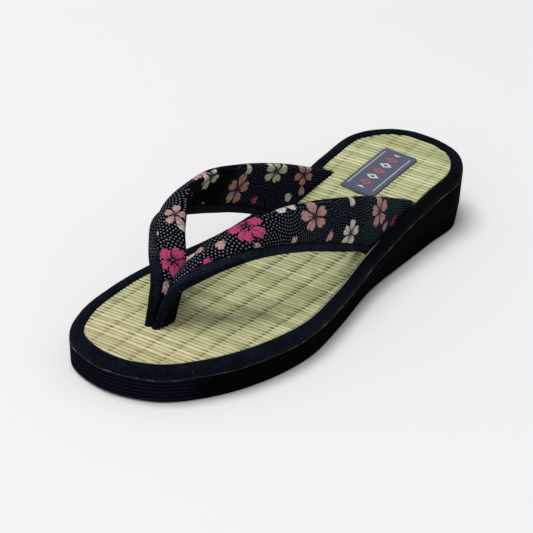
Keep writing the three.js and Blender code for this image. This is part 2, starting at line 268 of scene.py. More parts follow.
class Bench:
    """A node tree under construction."""

    def __init__(self, tree: bpy.types.NodeTree) -> None:
        """Keeps the tree that the nodes go in."""
        self.tree = tree

    def add(self, kind: str, inputs: dict[str | int, object] | None = None, **settings: object) -> Outputs:
        """Adds a shader node.

        Args:
            kind: the node's type, without the word that all of them start with.
            inputs: values or fields for its inputs, by name or number.
            **settings: values for its properties.

        Returns:
            Its outputs, by name and by number.
        """
        node = self.tree.nodes.new(f"ShaderNode{kind}")
        for name, value in settings.items():
            setattr(node, name, value)
        for name, value in (inputs or {}).items():
            self.feed(node.inputs[name], value)
        return self.outputs(node)

    def outputs(self, node: bpy.types.Node) -> Outputs:
        """A node's outputs, by name and by number."""
        return {key: Field(self, socket) for n, socket in enumerate(node.outputs) for key in (n, socket.name)}

    def feed(self, socket: bpy.types.NodeSocket, value: object) -> None:
        """Links a socket, or sets its value."""
        if isinstance(value, Field):
            self.tree.links.new(value.socket, socket)
        else:
            socket.default_value = (*value, 1.0) if socket.type == "RGBA" else value

    def math(self, operation: str, *inputs: Value) -> Field:
        """A Math node's result."""
        return self.add("Math", dict(enumerate(inputs)), operation=operation)[0]

    def vector(self, operation: str, *inputs: object) -> Field:
        """A Vector Math node's vector."""
        return self.add("VectorMath", dict(enumerate(inputs)), operation=operation)[0]

    def ramp(self, value: Value, low: Value, high: Value, start: Value = 0.0, end: Value = 1.0) -> Field:
        """Smooth step of a value between two limits."""
        inputs = {"Value": value, "From Min": low, "From Max": high, "To Min": start, "To Max": end}
        return self.add("MapRange", inputs, interpolation_type="SMOOTHSTEP")["Result"]

    def mix(self, factor: Value, first: object, second: object, blend: str = "MIX") -> Field:
        """A mix of two colours."""
        inputs = {0: factor, 6: first, 7: second}
        return self.add("Mix", inputs, data_type="RGBA", blend_type=blend, clamp_factor=True)[2]

    def noise(self, place: Field, scale: float, detail: float = 2.0, rough: float = 0.5) -> Field:
        """A noise texture's value."""
        inputs = {"Vector": place, "Scale": scale, "Detail": detail, "Roughness": rough}
        return self.add("TexNoise", inputs)[0]

    def stretch(self, place: Field, scale: tuple[float, float, float]) -> Field:
        """A place scaled along its axes."""
        return self.add("Mapping", {"Vector": place, "Scale": scale})[0]

    def split(self, place: Field) -> tuple[Field, Field, Field]:
        """The three parts of a vector."""
        parts = self.add("SeparateXYZ", {0: place})
        return parts[0], parts[1], parts[2]

    def join(self, x: Value, y: Value) -> Field:
        """A vector of two parts."""
        return self.add("CombineXYZ", {0: x, 1: y})[0]

    def group(self, tree: bpy.types.NodeTree, **inputs: object) -> Outputs:
        """Adds a node group, with the inputs named as its sockets are."""
        return self.add("Group", inputs, node_tree=tree)


def make_group(
    name: str, inputs: dict[str, str], outputs: dict[str, str]
) -> tuple[Bench, Outputs, bpy.types.NodeInputs]:
    """Starts a shader node group.

    Args:
        name: the group's name.
        inputs: socket type by name.
        outputs: socket type by name.

    Returns:
        The bench, what the group is given, and the sockets that its results go to.
    """
    tree = bpy.data.node_groups.new(name, "ShaderNodeTree")
    for direction, sockets in (("INPUT", inputs), ("OUTPUT", outputs)):
        for label, kind in sockets.items():
            tree.interface.new_socket(name=label, in_out=direction, socket_type=f"NodeSocket{kind}")
    bench = Bench(tree)
    return bench, bench.outputs(tree.nodes.new("NodeGroupInput")), tree.nodes.new("NodeGroupOutput").inputs


def blossom_group() -> bpy.types.NodeTree:
    """Five-petalled cherry blossom with notched tips, dark gaps and fine stamens."""
    floats = dict.fromkeys(("Radius", "Squash", "Turn", "Spread", "Width"), "Float")
    bench, given, out = make_group(
        "Blossom", {"Place": "Vector", "Centre": "Vector", **floats}, {"Petals": "Float", "Lines": "Float"}
    )
    x, y, _ = bench.split(bench.vector("SUBTRACT", given["Place"], given["Centre"]))
    x = x / given["Radius"]
    y = y / given["Radius"] * given["Squash"]
    radius = bench.math("SQRT", x * x + y * y)
    bearing = bench.math("ARCTAN2", y, x) - given["Turn"]
    wrapped = bench.math("WRAP", bearing, math.pi, -math.pi)
    petal = math.tau / PETALS
    angle = bench.math("WRAP", bearing, petal / 2, -petal / 2)
    outward = radius * bench.math("COSINE", angle)
    across = abs(radius * bench.math("SINE", angle))
    long = (outward - 0.61) / 0.41
    wide = across / ((outward * 0.25 + 0.16) * given["Width"])
    body = bench.ramp(long * long + wide * wide, 1.08, 0.94)
    notched = body * bench.ramp((outward - 0.84) * 0.62 - across, 0.03, -0.02)
    inside = bench.ramp(abs(wrapped), given["Spread"] + 0.02, given["Spread"])
    beads = bench.ramp(bench.math("COSINE", bearing * 7.0), 0.2, 0.6)
    anther = bench.ramp(abs(radius - 0.14), 0.06, 0.03) * beads
    bench.feed(out["Petals"], bench.math("MAXIMUM", notched, anther) * inside)
    stamen_angle = bench.math("WRAP", bearing, petal / 6, -petal / 6)
    stamen = abs(radius * bench.math("SINE", stamen_angle))
    thread = bench.ramp(stamen, 0.045, 0.018) * bench.ramp(radius, 0.50, 0.38)
    vein = bench.ramp(across, 0.03, 0.0) * bench.ramp(outward, 0.62, 0.5)
    bench.feed(out["Lines"], bench.math("MAXIMUM", thread, vein))
    return bench.tree


def komon_group() -> bpy.types.NodeTree:
    """Small dots in rings round scattered centres, packed closer from one place along the cloth on."""
    floats = dict.fromkeys(("Pitch", "Fine", "Start", "End"), "Float")
    bench, given, out = make_group("Komon Dots", {"Place": "Vector", **floats}, {"Dots": "Float"})
    cells = {"Vector": given["Place"], "Scale": 1 / 34, "Randomness": 0.8}
    centre = bench.add("TexVoronoi", cells, voronoi_dimensions="2D")["Position"]
    pitch = bench.ramp(bench.split(centre)[0], given["Start"], given["End"], given["Pitch"], given["Fine"])
    x, y, _ = bench.split(bench.vector("SUBTRACT", given["Place"], centre))
    steps = bench.math("SQRT", x * x + y * y) / pitch
    ring = bench.math("ROUND", steps)
    count = bench.math("MAXIMUM", bench.math("ROUND", ring * math.tau), 1.0)
    position = bench.math("ARCTAN2", y, x) / math.tau * count
    round_off = position - bench.math("ROUND", position)
    ring_off = steps - ring
    off = bench.math("SQRT", round_off * round_off + ring_off * ring_off)
    bench.feed(out["Dots"], bench.ramp(off, 0.28, 0.14))
    return bench.tree


def weave_group() -> bpy.types.NodeTree:
    """Fine cloth weave with slubs: a height, and a mask of lighter threads."""
    inputs = {"Place": "Vector", "Thread": "Float", "Slub": "Float"}
    bench, given, out = make_group("Fine Weave", inputs, {"Height": "Float", "Threads": "Float"})
    x, y, _ = bench.split(given["Place"])
    per_turn = math.tau / given["Thread"]
    crossing = bench.math("SINE", x * per_turn) * bench.math("SINE", y * per_turn)
    slub = bench.noise(given["Place"], 0.9, 3.0, 0.6)
    bench.feed(out["Height"], crossing * 0.5 + slub * given["Slub"])
    bench.feed(out["Threads"], bench.ramp(bench.noise(given["Place"], 2.3, 2.0, 0.7), 0.45, 0.75))
    return bench.tree


def lint_group() -> bpy.types.NodeTree:
    """Sparse pale specks of lint and dust on dark cloth or foam."""
    bench, given, out = make_group(
        "Lint", {"Place": "Vector", "Scale": "Float", "Amount": "Float"}, {"Specks": "Float"}
    )
    cells = bench.add("TexVoronoi", {"Vector": given["Place"], "Scale": given["Scale"]}, feature="F1")
    rare = bench.math("LESS_THAN", bench.split(cells["Color"])[0], given["Amount"])
    bench.feed(out["Specks"], bench.ramp(cells["Distance"], 0.16, 0.06) * rare)
    return bench.tree


@dataclass
class Groups:
    """The effects that more than one material uses."""

    blossom: bpy.types.NodeTree = field(default_factory=blossom_group)
    komon: bpy.types.NodeTree = field(default_factory=komon_group)
    weave: bpy.types.NodeTree = field(default_factory=weave_group)
    lint: bpy.types.NodeTree = field(default_factory=lint_group)


@dataclass
class Finish(Bench):
    """A finish of the sandal, painted as a material of the given name."""

    groups: Groups
    name: str

    def __post_init__(self) -> None:
        """Starts the material and paints it."""
        self.material = bpy.data.materials.new(self.name)
        self.material.use_nodes = True
        self.tree = self.material.node_tree
        self.shader = self.tree.nodes["Principled BSDF"].inputs
        self.paint()

    def paint(self) -> None:
        """Lays the finish's colours and relief."""
        raise NotImplementedError

    def place(self) -> Field:
        """Object coordinates in millimetres."""
        return self.stretch(self.add("TexCoord")["Object"], (1 / MM, 1 / MM, 1 / MM))

    def plan(self) -> Field:
        """The piece's own flat plan, in millimetres."""
        return self.add("UVMap", uv_map="plan")[0]

    def dress(self, colour: Value, rough: Value, levels: dict[str, object]) -> None:
        """Feeds the shader's colour and roughness, and sets its levels by name."""
        for label, value in {"Base Color": colour, "Roughness": rough, **levels}.items():
            self.feed(self.shader[label], value)

    def bump(self, height: Field, depth: float, strength: float = 1.0) -> None:
        """Feeds a height to the shader's normal, as a bump of a depth in metres."""
        inputs = {"Strength": strength, "Distance": depth, "Height": height}
        self.feed(self.shader["Normal"], self.add("Bump", inputs)[0])


class Ink(Enum):
    """Inks of the printed cloth, as linear colours."""

    MAGENTA = (0.58, 0.072, 0.210)
    ROSE = (0.64, 0.385, 0.375)
    DUSTY = (0.60, 0.335, 0.32)
    CREAM = (0.74, 0.72, 0.58)
    WHITE = (0.75, 0.76, 0.74)


@dataclass(frozen=True)
class Blossom:
    """A printed blossom or loose petals: its middle along the arm in mm and across it as a share."""

    along: float
    across: float
    radius: float
    turn: float
    ink: Ink
    petals: int = PETALS
    squash: float = 1.0
    width: float = 1.0


@dataclass
class PrintedCloth(Finish):
    """Crepe cloth with a dot ground and printed blossoms, in an arm's own plan."""

    sections: "Stations"
    blossoms: tuple[Blossom, ...]
    ground: Colour = (0.0012, 0.0016, 0.0036)
    dot: Colour = (0.27, 0.295, 0.35)
    far_dot: Colour = (0.080, 0.108, 0.180)
    root_dot: Colour = (0.11, 0.235, 0.24)
    # Painted shade: the place along the arm, in mm, before which the dots stay hidden in shade.
    painted_shade_until: float = 13.0

    def paint(self) -> None:
        """Lays the dots on the ground, and the blossoms over them."""
        plan = self.plan()
        wander = self.add("TexNoise", {"Vector": plan, "Scale": 0.35, "Detail": 1.0})["Color"]
        wander = self.vector("SUBTRACT", wander, (0.5, 0.5, 0.5))
        soft = self.vector("MULTIPLY_ADD", wander, (0.9, 0.9, 0.0), plan)
        dots = self.group(self.groups.komon, Place=soft, Pitch=1.40, Fine=1.20, Start=85.0, End=140.0)["Dots"]
        weave = self.group(self.groups.weave, Place=plan, Thread=0.55, Slub=1.2)
        along, _, _ = self.split(plan)
        worn = self.ramp(self.noise(plan, 0.55), 0.25, 0.6, 0.45, 0.9)
        # Painted shade: the dots stay hidden near the start of the arm, and fade in over 8 mm.
        shown = worn * self.ramp(along, self.painted_shade_until, self.painted_shade_until + 8.0)
        dot = self.mix(self.ramp(along, 25.0, 110.0), self.dot, self.far_dot)
        dot = self.mix(self.ramp(along, 120.0, 142.0), dot, self.root_dot)
        colour = self.mix(dots * shown, self.ground, dot)
        mottle = self.ramp(self.noise(plan, 1.2, 3.0, 0.65), 0.40, 0.60)
        lines: Value = 0.0
        for blossom in self.blossoms:
            drawn = self.drawn(blossom, soft)
            tone = self.mix(mottle, tuple(0.56 * part for part in blossom.ink.value), blossom.ink.value)
            colour = self.mix(drawn["Petals"], colour, tone)
            lines = self.math("MAXIMUM", drawn["Petals"] * drawn["Lines"], lines)
        colour = self.mix(lines * 0.75, colour, self.ground)
        self.dress(
            self.mix(1.0, colour, self.ramp(weave["Threads"], 0.0, 1.0, 0.86, 1.1), "MULTIPLY"),
            self.ramp(weave["Height"], 0.0, 1.5, 0.92, 0.72),
            {"Sheen Weight": 0.004, "Sheen Roughness": 0.4, "Specular IOR Level": 0.02},
        )
        self.bump(weave["Height"], 0.12 * MM)

    def drawn(self, blossom: Blossom, place: Field) -> Outputs:
        """Draws one blossom at its place on the plan.

        Args:
            blossom: the blossom, or the petals of one.
            place: the plan's coordinates.

        Returns:
            The masks of its petals and of the lines on them.
        """
        turn = math.radians(blossom.turn)
        centre = Vector((*self.sections.spot(blossom.along, blossom.across), 0.0))
        if blossom.petals == 1:
            centre -= 0.6 * blossom.radius * Vector((math.cos(turn), math.sin(turn), 0.0))
        return self.group(
            self.groups.blossom,
            Place=place,
            Centre=tuple(centre),
            Radius=blossom.radius,
            Squash=blossom.squash,
            Turn=turn,
            Spread=math.pi / PETALS * blossom.petals if blossom.petals < PETALS else 4.0,
            Width=blossom.width,
        )


@dataclass
class ShadedCloth(PrintedCloth):
    """The printed cloth on the inner face of an arm in painted shade: dimmer dots, shown near the roots
    alone.
    """

    dot: Colour = (0.10, 0.10, 0.15)
    far_dot: Colour = (0.085, 0.102, 0.235)
    root_dot: Colour = (0.085, 0.102, 0.235)
    painted_shade_until: float = 92.0


@dataclass
class Pile(Finish):
    """Short navy pile cloth."""

    deep: Colour = (0.0012, 0.0016, 0.0038)
    lit: Colour = (0.0062, 0.0080, 0.0175)
    shade: Colour = (0.0006, 0.0007, 0.0014)
    lint: Colour = (0.45, 0.46, 0.5)

    def paint(self) -> None:
        """Brushes the pile, marks it, paints shade on it and scatters lint on it."""
        place = self.place()
        brushed = self.noise(place, 0.16, 3.0, 0.6)
        nap = self.noise(place, 1.25, 3.0, 0.75)
        specks = self.group(self.groups.lint, Place=place, Scale=0.42, Amount=0.035)["Specks"]
        colour = self.mix(self.ramp(brushed * 0.35 + nap * 0.75, 0.44, 0.70), self.deep, self.lit)
        self.dress(
            self.mix(specks * 0.5, self.marked_and_shaded(colour, place), self.lint),
            self.ramp(nap, 0.2, 0.8, 0.96, 0.8),
            {
                "Sheen Weight": 0.02,
                "Sheen Tint": (0.55, 0.62, 0.9),
                "Sheen Roughness": 0.45,
                "Specular IOR Level": 0.04,
            },
        )
        self.bump(nap + brushed * 1.5, 0.26 * MM)

    def marked_and_shaded(self, colour: Field, place: Field) -> Field:
        """The pile's colour with its own marks and its painted shade."""
        raise NotImplementedError


@dataclass
class BindingPile(Pile):
    """Pile of the binding, with painted shade along the rear part of its outer side, and a pale line along
    its rim on that side.
    """

    pale_line: Colour = (0.52, 0.53, 0.46)

    def marked_and_shaded(self, colour: Field, place: Field) -> Field:
        """Adds the painted shade and the pale line, by the plan's place across and its level on the band."""
        across, level, _ = self.split(self.plan())
        _, along, _ = self.split(place)
        # A pale, patchy line along the rim on the outer side.
        line = self.ramp(level, 0.79, 0.805) * self.ramp(across, 4.0, 20.0)
        near = line * (self.ramp(along, -85.0, -60.0) * self.ramp(along, 36.0, 24.0))
        patchy = self.ramp(self.noise(place, 0.6), 0.3, 0.55, 0.35, 0.9)
        # Painted shade on the outer side, from the middle of the sandal to near the heel.
        dark = self.ramp(along, -10.0, 35.0) * self.ramp(along, 114.0, 92.0)
        colour = self.mix(dark * self.ramp(across, 0.0, 15.0, 0.0, 0.85), colour, self.shade)
        return self.mix(near * patchy, colour, self.pale_line)


@dataclass
class EdgingPile(Pile):
    """Pile of the strap's edgings, with painted shade at the seam and under the roll, and dotted in places.
    """

    deep: Colour = (0.0018, 0.0026, 0.0058)
    lit: Colour = (0.0125, 0.0162, 0.0305)
    dot: Colour = (0.10, 0.108, 0.12)
    dotted: tuple[tuple[float, float], ...] = ()

    def marked_and_shaded(self, colour: Field, place: Field) -> Field:
        """Adds the painted shade and the dots, by the plan's place along the arm and back from its front."""
        plan = self.plan()
        dots = self.group(self.groups.komon, Place=plan, Pitch=1.4, Fine=1.4, Start=0.0, End=1.0)["Dots"]
        along, back, _ = self.split(plan)
        # Painted shade in the crease at the seam to the padding and under the roll's front.
        seam_shade = self.ramp(back, 3.9, 5.0, 0.0, 0.8)
        under_roll_shade = self.ramp(back, 1.7, 0.4, 0.0, 0.65)
        colour = self.mix(self.math("MAXIMUM", seam_shade, under_roll_shade), colour, self.shade)
        for start, end in self.dotted:
            shown = self.ramp(along, start, start + 5.0) * self.ramp(along, end, end - 5.0)
            colour = self.mix(dots * (shown * self.ramp(back, 0.6, 1.8, 0.0, 0.8)), colour, self.dot)
        return colour


@dataclass
class Rush(Finish):
    """Reeds laid across the mat, each with its own tone, with painted shade in the grooves between them and
    dark slits along the binding rows.
    """

    row_pitch: float
    pale: Colour = (0.70, 0.675, 0.405)
    straw: Colour = (0.53, 0.52, 0.255)
    green: Colour = (0.39, 0.42, 0.16)
    pink: Colour = (0.62, 0.49, 0.30)
    # Dark colour of the slits, also used for painted shade in the grooves and for the reeds' creases.
    slit_and_groove_shade: Colour = (0.066, 0.060, 0.026)
    toe_tint: Colour = (1.01, 0.965, 0.95)
    heel_tint: Colour = (0.94, 0.985, 0.95)

    def paint(self) -> None:
        """Tones the reeds, paints shade into the grooves between them and cuts the slits."""
        plan, place = self.plan(), self.place()
        across, reeds, _ = self.split(plan)
        _, along, _ = self.split(place)
        reed = self.math("FLOOR", reeds)
        off_middle = abs(self.math("FRACT", reeds) - 0.5)
        own = self.add("TexWhiteNoise", {"W": reed}, noise_dimensions="1D")
        pick, second = own["Value"], self.split(own["Color"])[1]
        drift = self.noise(self.join(across * 0.05, reed * 5.3), 1.0)
        colour = self.mix(self.ramp(pick * 0.38 + drift * 0.5, 0.12, 0.67), self.straw, self.pale)
        greener = self.ramp(second + self.noise(place, 0.028), 0.85, 1.5) * 0.55
        colour = self.mix(greener, colour, self.green)
        rosy = self.math("GREATER_THAN", pick, 0.82) * self.ramp(drift, 0.42, 0.6, 0.0, 0.6)
        colour = self.mix(rosy, colour, self.pink)
        streaks = self.noise(self.stretch(plan, (0.12, 6.5, 1.0)), 1.0, 3.0, 0.6)
        colour = self.mix(1.0, colour, self.ramp(streaks, 0.3, 0.7, 0.82, 1.12), "MULTIPLY")
        uneven = self.noise(self.stretch(plan, (0.3, 1.7, 1.0)), 1.0)
        # Painted shade in the grooves between the reeds.
        groove = self.ramp(off_middle, 0.25, 0.46) * self.ramp(uneven, 0.3, 0.65, 0.40, 0.72)
        colour = self.mix(groove, colour, self.slit_and_groove_shade)
        crease = self.ramp(off_middle, 0.12, 0.03) * self.ramp(second + drift, 0.8, 1.3)
        colour = self.mix(crease * 0.5, colour, self.slit_and_groove_shade)
        slits = self.slits(across, reeds, off_middle) * self.slit_strength(along)
        colour = self.mix(slits, colour, self.slit_and_groove_shade)
        tint = self.mix(self.ramp(along, -112.0, -45.0), self.toe_tint, self.heel_tint)
        self.dress(
            self.mix(1.0, colour, tint, "MULTIPLY"),
            self.ramp(streaks, 0.2, 0.8, 0.68, 0.5),
            {"Specular IOR Level": 0.35},
        )
        self.bump(streaks, 0.06 * MM)

    def slits(self, across: Field, reeds: Field, off_middle: Field) -> Field:
        """Mask of the slits that open beside the binding rows.

        Args:
            across: the place across the mat in mm.
            reeds: the place along the mat, counted in reeds.
            off_middle: the distance from the reed's middle line, as a share of its width.

        Returns:
            The mask.
        """
        row = across / self.row_pitch
        nearest = self.math("ROUND", row)
        pair = self.join(nearest, self.math("ROUND", reeds))
        chance = self.add("TexWhiteNoise", {"Vector": pair}, noise_dimensions="2D")
        length = self.ramp(chance["Value"], 0.0, 1.0, -1.7, -5.0)
        near = (row - nearest) * self.row_pitch + (self.split(chance["Color"])[2] - 0.5) * 0.6
        return self.ramp(near, length, 0.0) * self.ramp(near, 0.5, 0.2) * self.ramp(off_middle, 0.10, 0.33)

    def slit_strength(self, along: Field) -> Field:
        """How dark the slits are: fainter at the toe and from the arch to the heel."""
        return self.ramp(along, 30.0, 70.0, 0.97, 0.5) * self.ramp(along, -100.0, -45.0, 0.66, 1.0)


@dataclass
class Foam(Finish):
    """Dense black sole foam with closed cells, with painted shade between its ribs, painted light on the toe,
    and a little dusty.
    """

    sole: "Sole"
    dark: Colour = (0.0007, 0.0014, 0.0013)
    worn: Colour = (0.0014, 0.0024, 0.0025)
    # Painted light: the toe's front, lighter and bluer, as if lit from the front.
    toe: Colour = (0.0062, 0.0068, 0.0140)
    # Painted shade in the grooves between the ribs.
    rib: Colour = (0.0006, 0.0009, 0.0014)
    dust: Colour = (0.3, 0.3, 0.3)

    def paint(self) -> None:
        """Clouds the foam, paints light on the toe and paints shade into the grooves between the ribs."""
        place = self.place()
        cells = self.add("TexVoronoi", {"Vector": place, "Scale": 2.4})["Distance"]
        cloud = self.noise(place, 0.09, 3.0)
        specks = self.group(self.groups.lint, Place=place, Scale=0.5, Amount=0.02)["Specks"]
        _, along, height = self.split(place)
        colour = self.mix(self.ramp(cloud, 0.4, 0.75), self.dark, self.worn)
        # Painted light on the toe's front.
        colour = self.mix(self.ramp(along, -94.0, -108.0, 0.0, 0.9), colour, self.toe)
        # Painted shade in the grooves between the ribs, by height over the floor.
        start, pitch = self.sole.rib_start / MM, self.sole.rib_pitch / MM
        end = start + self.sole.ribs * pitch
        ribbed = self.ramp(height, start, start + 0.3) * self.math("LESS_THAN", height, end)
        wave = self.math("COSINE", (height - start) * (math.tau / pitch))
        colour = self.mix(self.ramp(wave, 0.1, -0.9, 0.0, 0.9) * ribbed, colour, self.rib)
        self.dress(
            self.mix(specks * 0.15, colour, self.dust),
            self.ramp(cloud, 0.3, 0.7, 0.72, 0.9),
            {"Specular IOR Level": 0.01},
        )
        self.bump(cells, 0.1 * MM, 0.6)


@dataclass
class LabelCloth(Finish):
    """Slate woven label of a width and length in mm, with a plain border and a row of lozenges."""

    width: float
    length: float
    slate: Colour = (0.095, 0.105, 0.165)
    white: Colour = (0.72, 0.73, 0.74)
    red: Colour = (0.50, 0.11, 0.11)
    lozenges: int = 7

    def paint(self) -> None:
        """Weaves the lozenges and the border."""
        plan = self.plan()
        x, y, _ = self.split(plan)
        weave = self.group(self.groups.weave, Place=plan, Thread=0.4, Slub=0.5)
        ragged = (self.noise(plan, 2.2) - 0.5) * 0.35
        cell = self.length / self.lozenges
        row = y / cell
        nearest = self.math("ROUND", row)
        lozenge = abs(x) * 0.62 + abs((row - nearest) * cell) + ragged
        motif = self.ramp(lozenge, 2.15, 1.95) * self.ramp(lozenge, 0.85, 1.05)
        end = self.length / 2 - 3.4
        within = self.ramp(abs(y), end, end - 0.2)
        ink = self.mix(abs(self.math("MODULO", nearest, 2.0)), self.red, self.white)
        colour = self.mix(motif * within, self.slate, ink)
        side = abs(x) + ragged
        edge = self.width / 2
        border = self.ramp(side, edge - 2.5, edge - 2.3) * self.ramp(side, edge - 1.9, edge - 2.1)
        colour = self.mix(border * within, colour, self.white)
        self.dress(
            self.mix(1.0, colour, self.ramp(weave["Threads"], 0.0, 1.0, 0.82, 1.15), "MULTIPLY"),
            self.ramp(weave["Threads"], 0.0, 1.0, 0.85, 0.6),
            {"Sheen Weight": 0.05},
        )
        self.bump(weave["Height"], 0.1 * MM)


@dataclass
class Thread(Finish):
    """Sewing thread, patchy where it sinks into the pile."""

    bright: Colour
    sunk: Colour
    reach: float

    def paint(self) -> None:
        """Sinks the thread in patches, and twists it."""
        place = self.place()
        patch = self.noise(place, self.reach, 3.0, 0.65)
        colour = self.mix(self.ramp(patch, 0.5, 0.64), self.sunk, self.bright)
        self.dress(colour, self.ramp(patch, 0.3, 0.7, 0.9, 0.65), {})
        self.bump(self.group(self.groups.weave, Place=place, Thread=0.5, Slub=0.4)["Height"], 0.05 * MM)


@dataclass
class Board(Finish):
    """Brown fibre board under the mat."""

    dark: Colour = (0.030, 0.023, 0.016)
    light: Colour = (0.085, 0.066, 0.045)

    def paint(self) -> None:
        """Lays the fibres along the board."""
        fibres = self.noise(self.stretch(self.place(), (0.2, 1.4, 0.6)), 1.0, 4.0, 0.65)
        self.dress(self.mix(fibres, self.dark, self.light), self.ramp(fibres, 0.3, 0.7, 0.95, 0.8), {})
        self.bump(fibres, 0.15 * MM)


@dataclass
class FloorPaint(Finish):
    """Pale matt paint of the studio's floor."""

    first: Colour = (0.85, 0.85, 0.85)
    second: Colour = (0.855, 0.855, 0.855)

    def paint(self) -> None:
        """Clouds the paint faintly."""
        clouds = self.noise(self.place(), 3 * MM)
        self.dress(self.mix(clouds, self.first, self.second), 0.9, {"Specular IOR Level": 0.1})


# The sandal's plan and heights


@dataclass
class Footbed:
    """Plan outline and side profile, which every piece follows."""

    length: float = 240 * MM
    ball_width: float = 84 * MM
    heel_width: float = 63 * MM
    forefoot_height: float = 15.5 * MM
    heel_height: float = 30.3 * MM
    binding_side: float = 4.4 * MM
    arch_lift: float = 1.2 * MM
    toe_spring: float = 0.8 * MM
    arch_middle: float = 0.575
    arch_reach: float = 0.16
    spring_reach: float = 0.08
    toe_tip: float = -0.054
    heel_tip: float = -0.040
    steps: int = 240
    samples: int = 1600

    def __post_init__(self) -> None:
        """Reads the tables, and samples the outline."""
        ball, heel = self.ball_width, self.heel_width
        plan = np.array([
            (0.03, ball, 0.204, 0.326),
            (0.10, ball, 0.370, 0.429),
            (0.20, ball, 0.488, 0.466),
            (0.32, ball, 0.536, 0.462),
            (0.45, ball, 0.486, 0.413),
            (0.58, heel, 0.556, 0.498),
            (0.70, heel, 0.514, 0.476),
            (0.82, heel, 0.492, 0.502),
            (0.92, heel, 0.470, 0.484),
            (0.98, heel, 0.300, 0.297),
        ])
        self.profile = np.array([
            (0.00, -0.020, 0.95),
            (0.10, 0.014, 1.00),
            (0.25, 0.020, 1.00),
            (0.40, -0.040, 0.70),
            (0.50, -0.020, 0.66),
            (0.60, 0.142, 0.70),
            (0.70, 0.395, 0.72),
            (0.80, 0.620, 0.82),
            (0.90, 0.815, 0.94),
            (1.00, 1.000, 1.20),
        ])
        y = self.from_toe(plan[:, 0])
        outer = np.column_stack([plan[:, 2] * plan[:, 1], y])
        inner = np.column_stack([-plan[:, 3] * plan[:, 1], y])
        toe = np.array([[self.toe_tip * ball, self.from_toe(0.0)]])
        heel_end = np.array([[self.heel_tip * heel, self.from_toe(1.0)]])
        curve = centripetal(np.vstack([toe, outer, heel_end, inner[::-1]]), self.samples, True)
        back = int(np.argmax(curve[:, 1]))
        turn = np.linspace(0, math.pi, self.steps + 1)
        places = self.from_toe((1 - np.cos(turn)) / 2)
        halves = (curve[:back + 1], curve[back:][::-1])
        near, far = (np.interp(places, half[:, 1], half[:, 0]) for half in halves)
        return_way = np.column_stack([far, places])[-2:0:-1]
        self.outline = np.vstack([np.column_stack([near, places]), return_way])
        self.outline[:, 0] -= (self.outline[:, 0].max() + self.outline[:, 0].min()) / 2

    def from_toe(self, along: np.ndarray | float) -> np.ndarray | float:
        """Y of a place along the sandal."""
        return (along - 0.5) * self.length

    def along(self, y: np.ndarray) -> np.ndarray:
        """Place along the sandal of a Y."""
        return y / self.length + 0.5

    def mat_height(self, y: np.ndarray) -> np.ndarray:
        """Height of the mat's top."""
        return lerp(self.forefoot_height, self.heel_height, follow(self.profile, 1, self.along(y)))

    def seam_height(self, y: np.ndarray) -> np.ndarray:
        """Height of the seam under the binding."""
        return self.mat_height(y) - self.binding_side * follow(self.profile, 2, self.along(y))

    def underside(self, y: np.ndarray) -> np.ndarray:
        """Height of the sole's own underside."""
        arch = np.maximum(0, 1 - ((self.along(y) - self.arch_middle) / self.arch_reach) ** 2)
        spring = np.maximum(0, 1 - self.along(y) / self.spring_reach)
        return self.arch_lift * arch**2 + self.toe_spring * spring**2

    def inset(self, distance: float) -> np.ndarray:
        """The outline moved in by a distance, from the toe by the outer side and back."""
        step = np.roll(self.outline, -1, axis=0) - np.roll(self.outline, 1, axis=0)
        step /= np.linalg.norm(step, axis=1)[:, None]
        return self.outline + np.column_stack([-step[:, 1], step[:, 0]]) * distance

    def ring(self, distance: float, height: Height) -> np.ndarray:
        """The outline moved in, each point at the height that its Y gives."""
        points = self.inset(distance)
        return np.column_stack([points, height(points[:, 1])])

    def edge_at(self, distance: float, side: Side, y: np.ndarray) -> np.ndarray:
        """X of the moved outline at each Y, on one side."""
        points = self.inset(distance)
        backwards = np.vstack([points[:1], points[self.steps:][::-1]])
        half = points[:self.steps + 1] if side is Side.OUTER else backwards
        return np.interp(y, half[:, 1], half[:, 0])

    def slab(self, rings: Sequence[np.ndarray]) -> Surface:
        """Closed surface of a solid whose rings lie one over the next.

        Args:
            rings: rings of points, from the bottom up.

        Returns:
            Rows from toe to heel, each a closed section with one more point across its top and underside.
        """
        wall = np.stack(rings)
        outer = wall[:, :self.steps + 1]
        inner = np.concatenate([wall[:, :1], wall[:, self.steps:][:, ::-1]], axis=1)
        low, high = ((inner[end] + outer[end]) / 2 for end in (0, -1))
        return close_round(np.stack([inner[0], low, *outer, high, *inner[:0:-1]], axis=1))


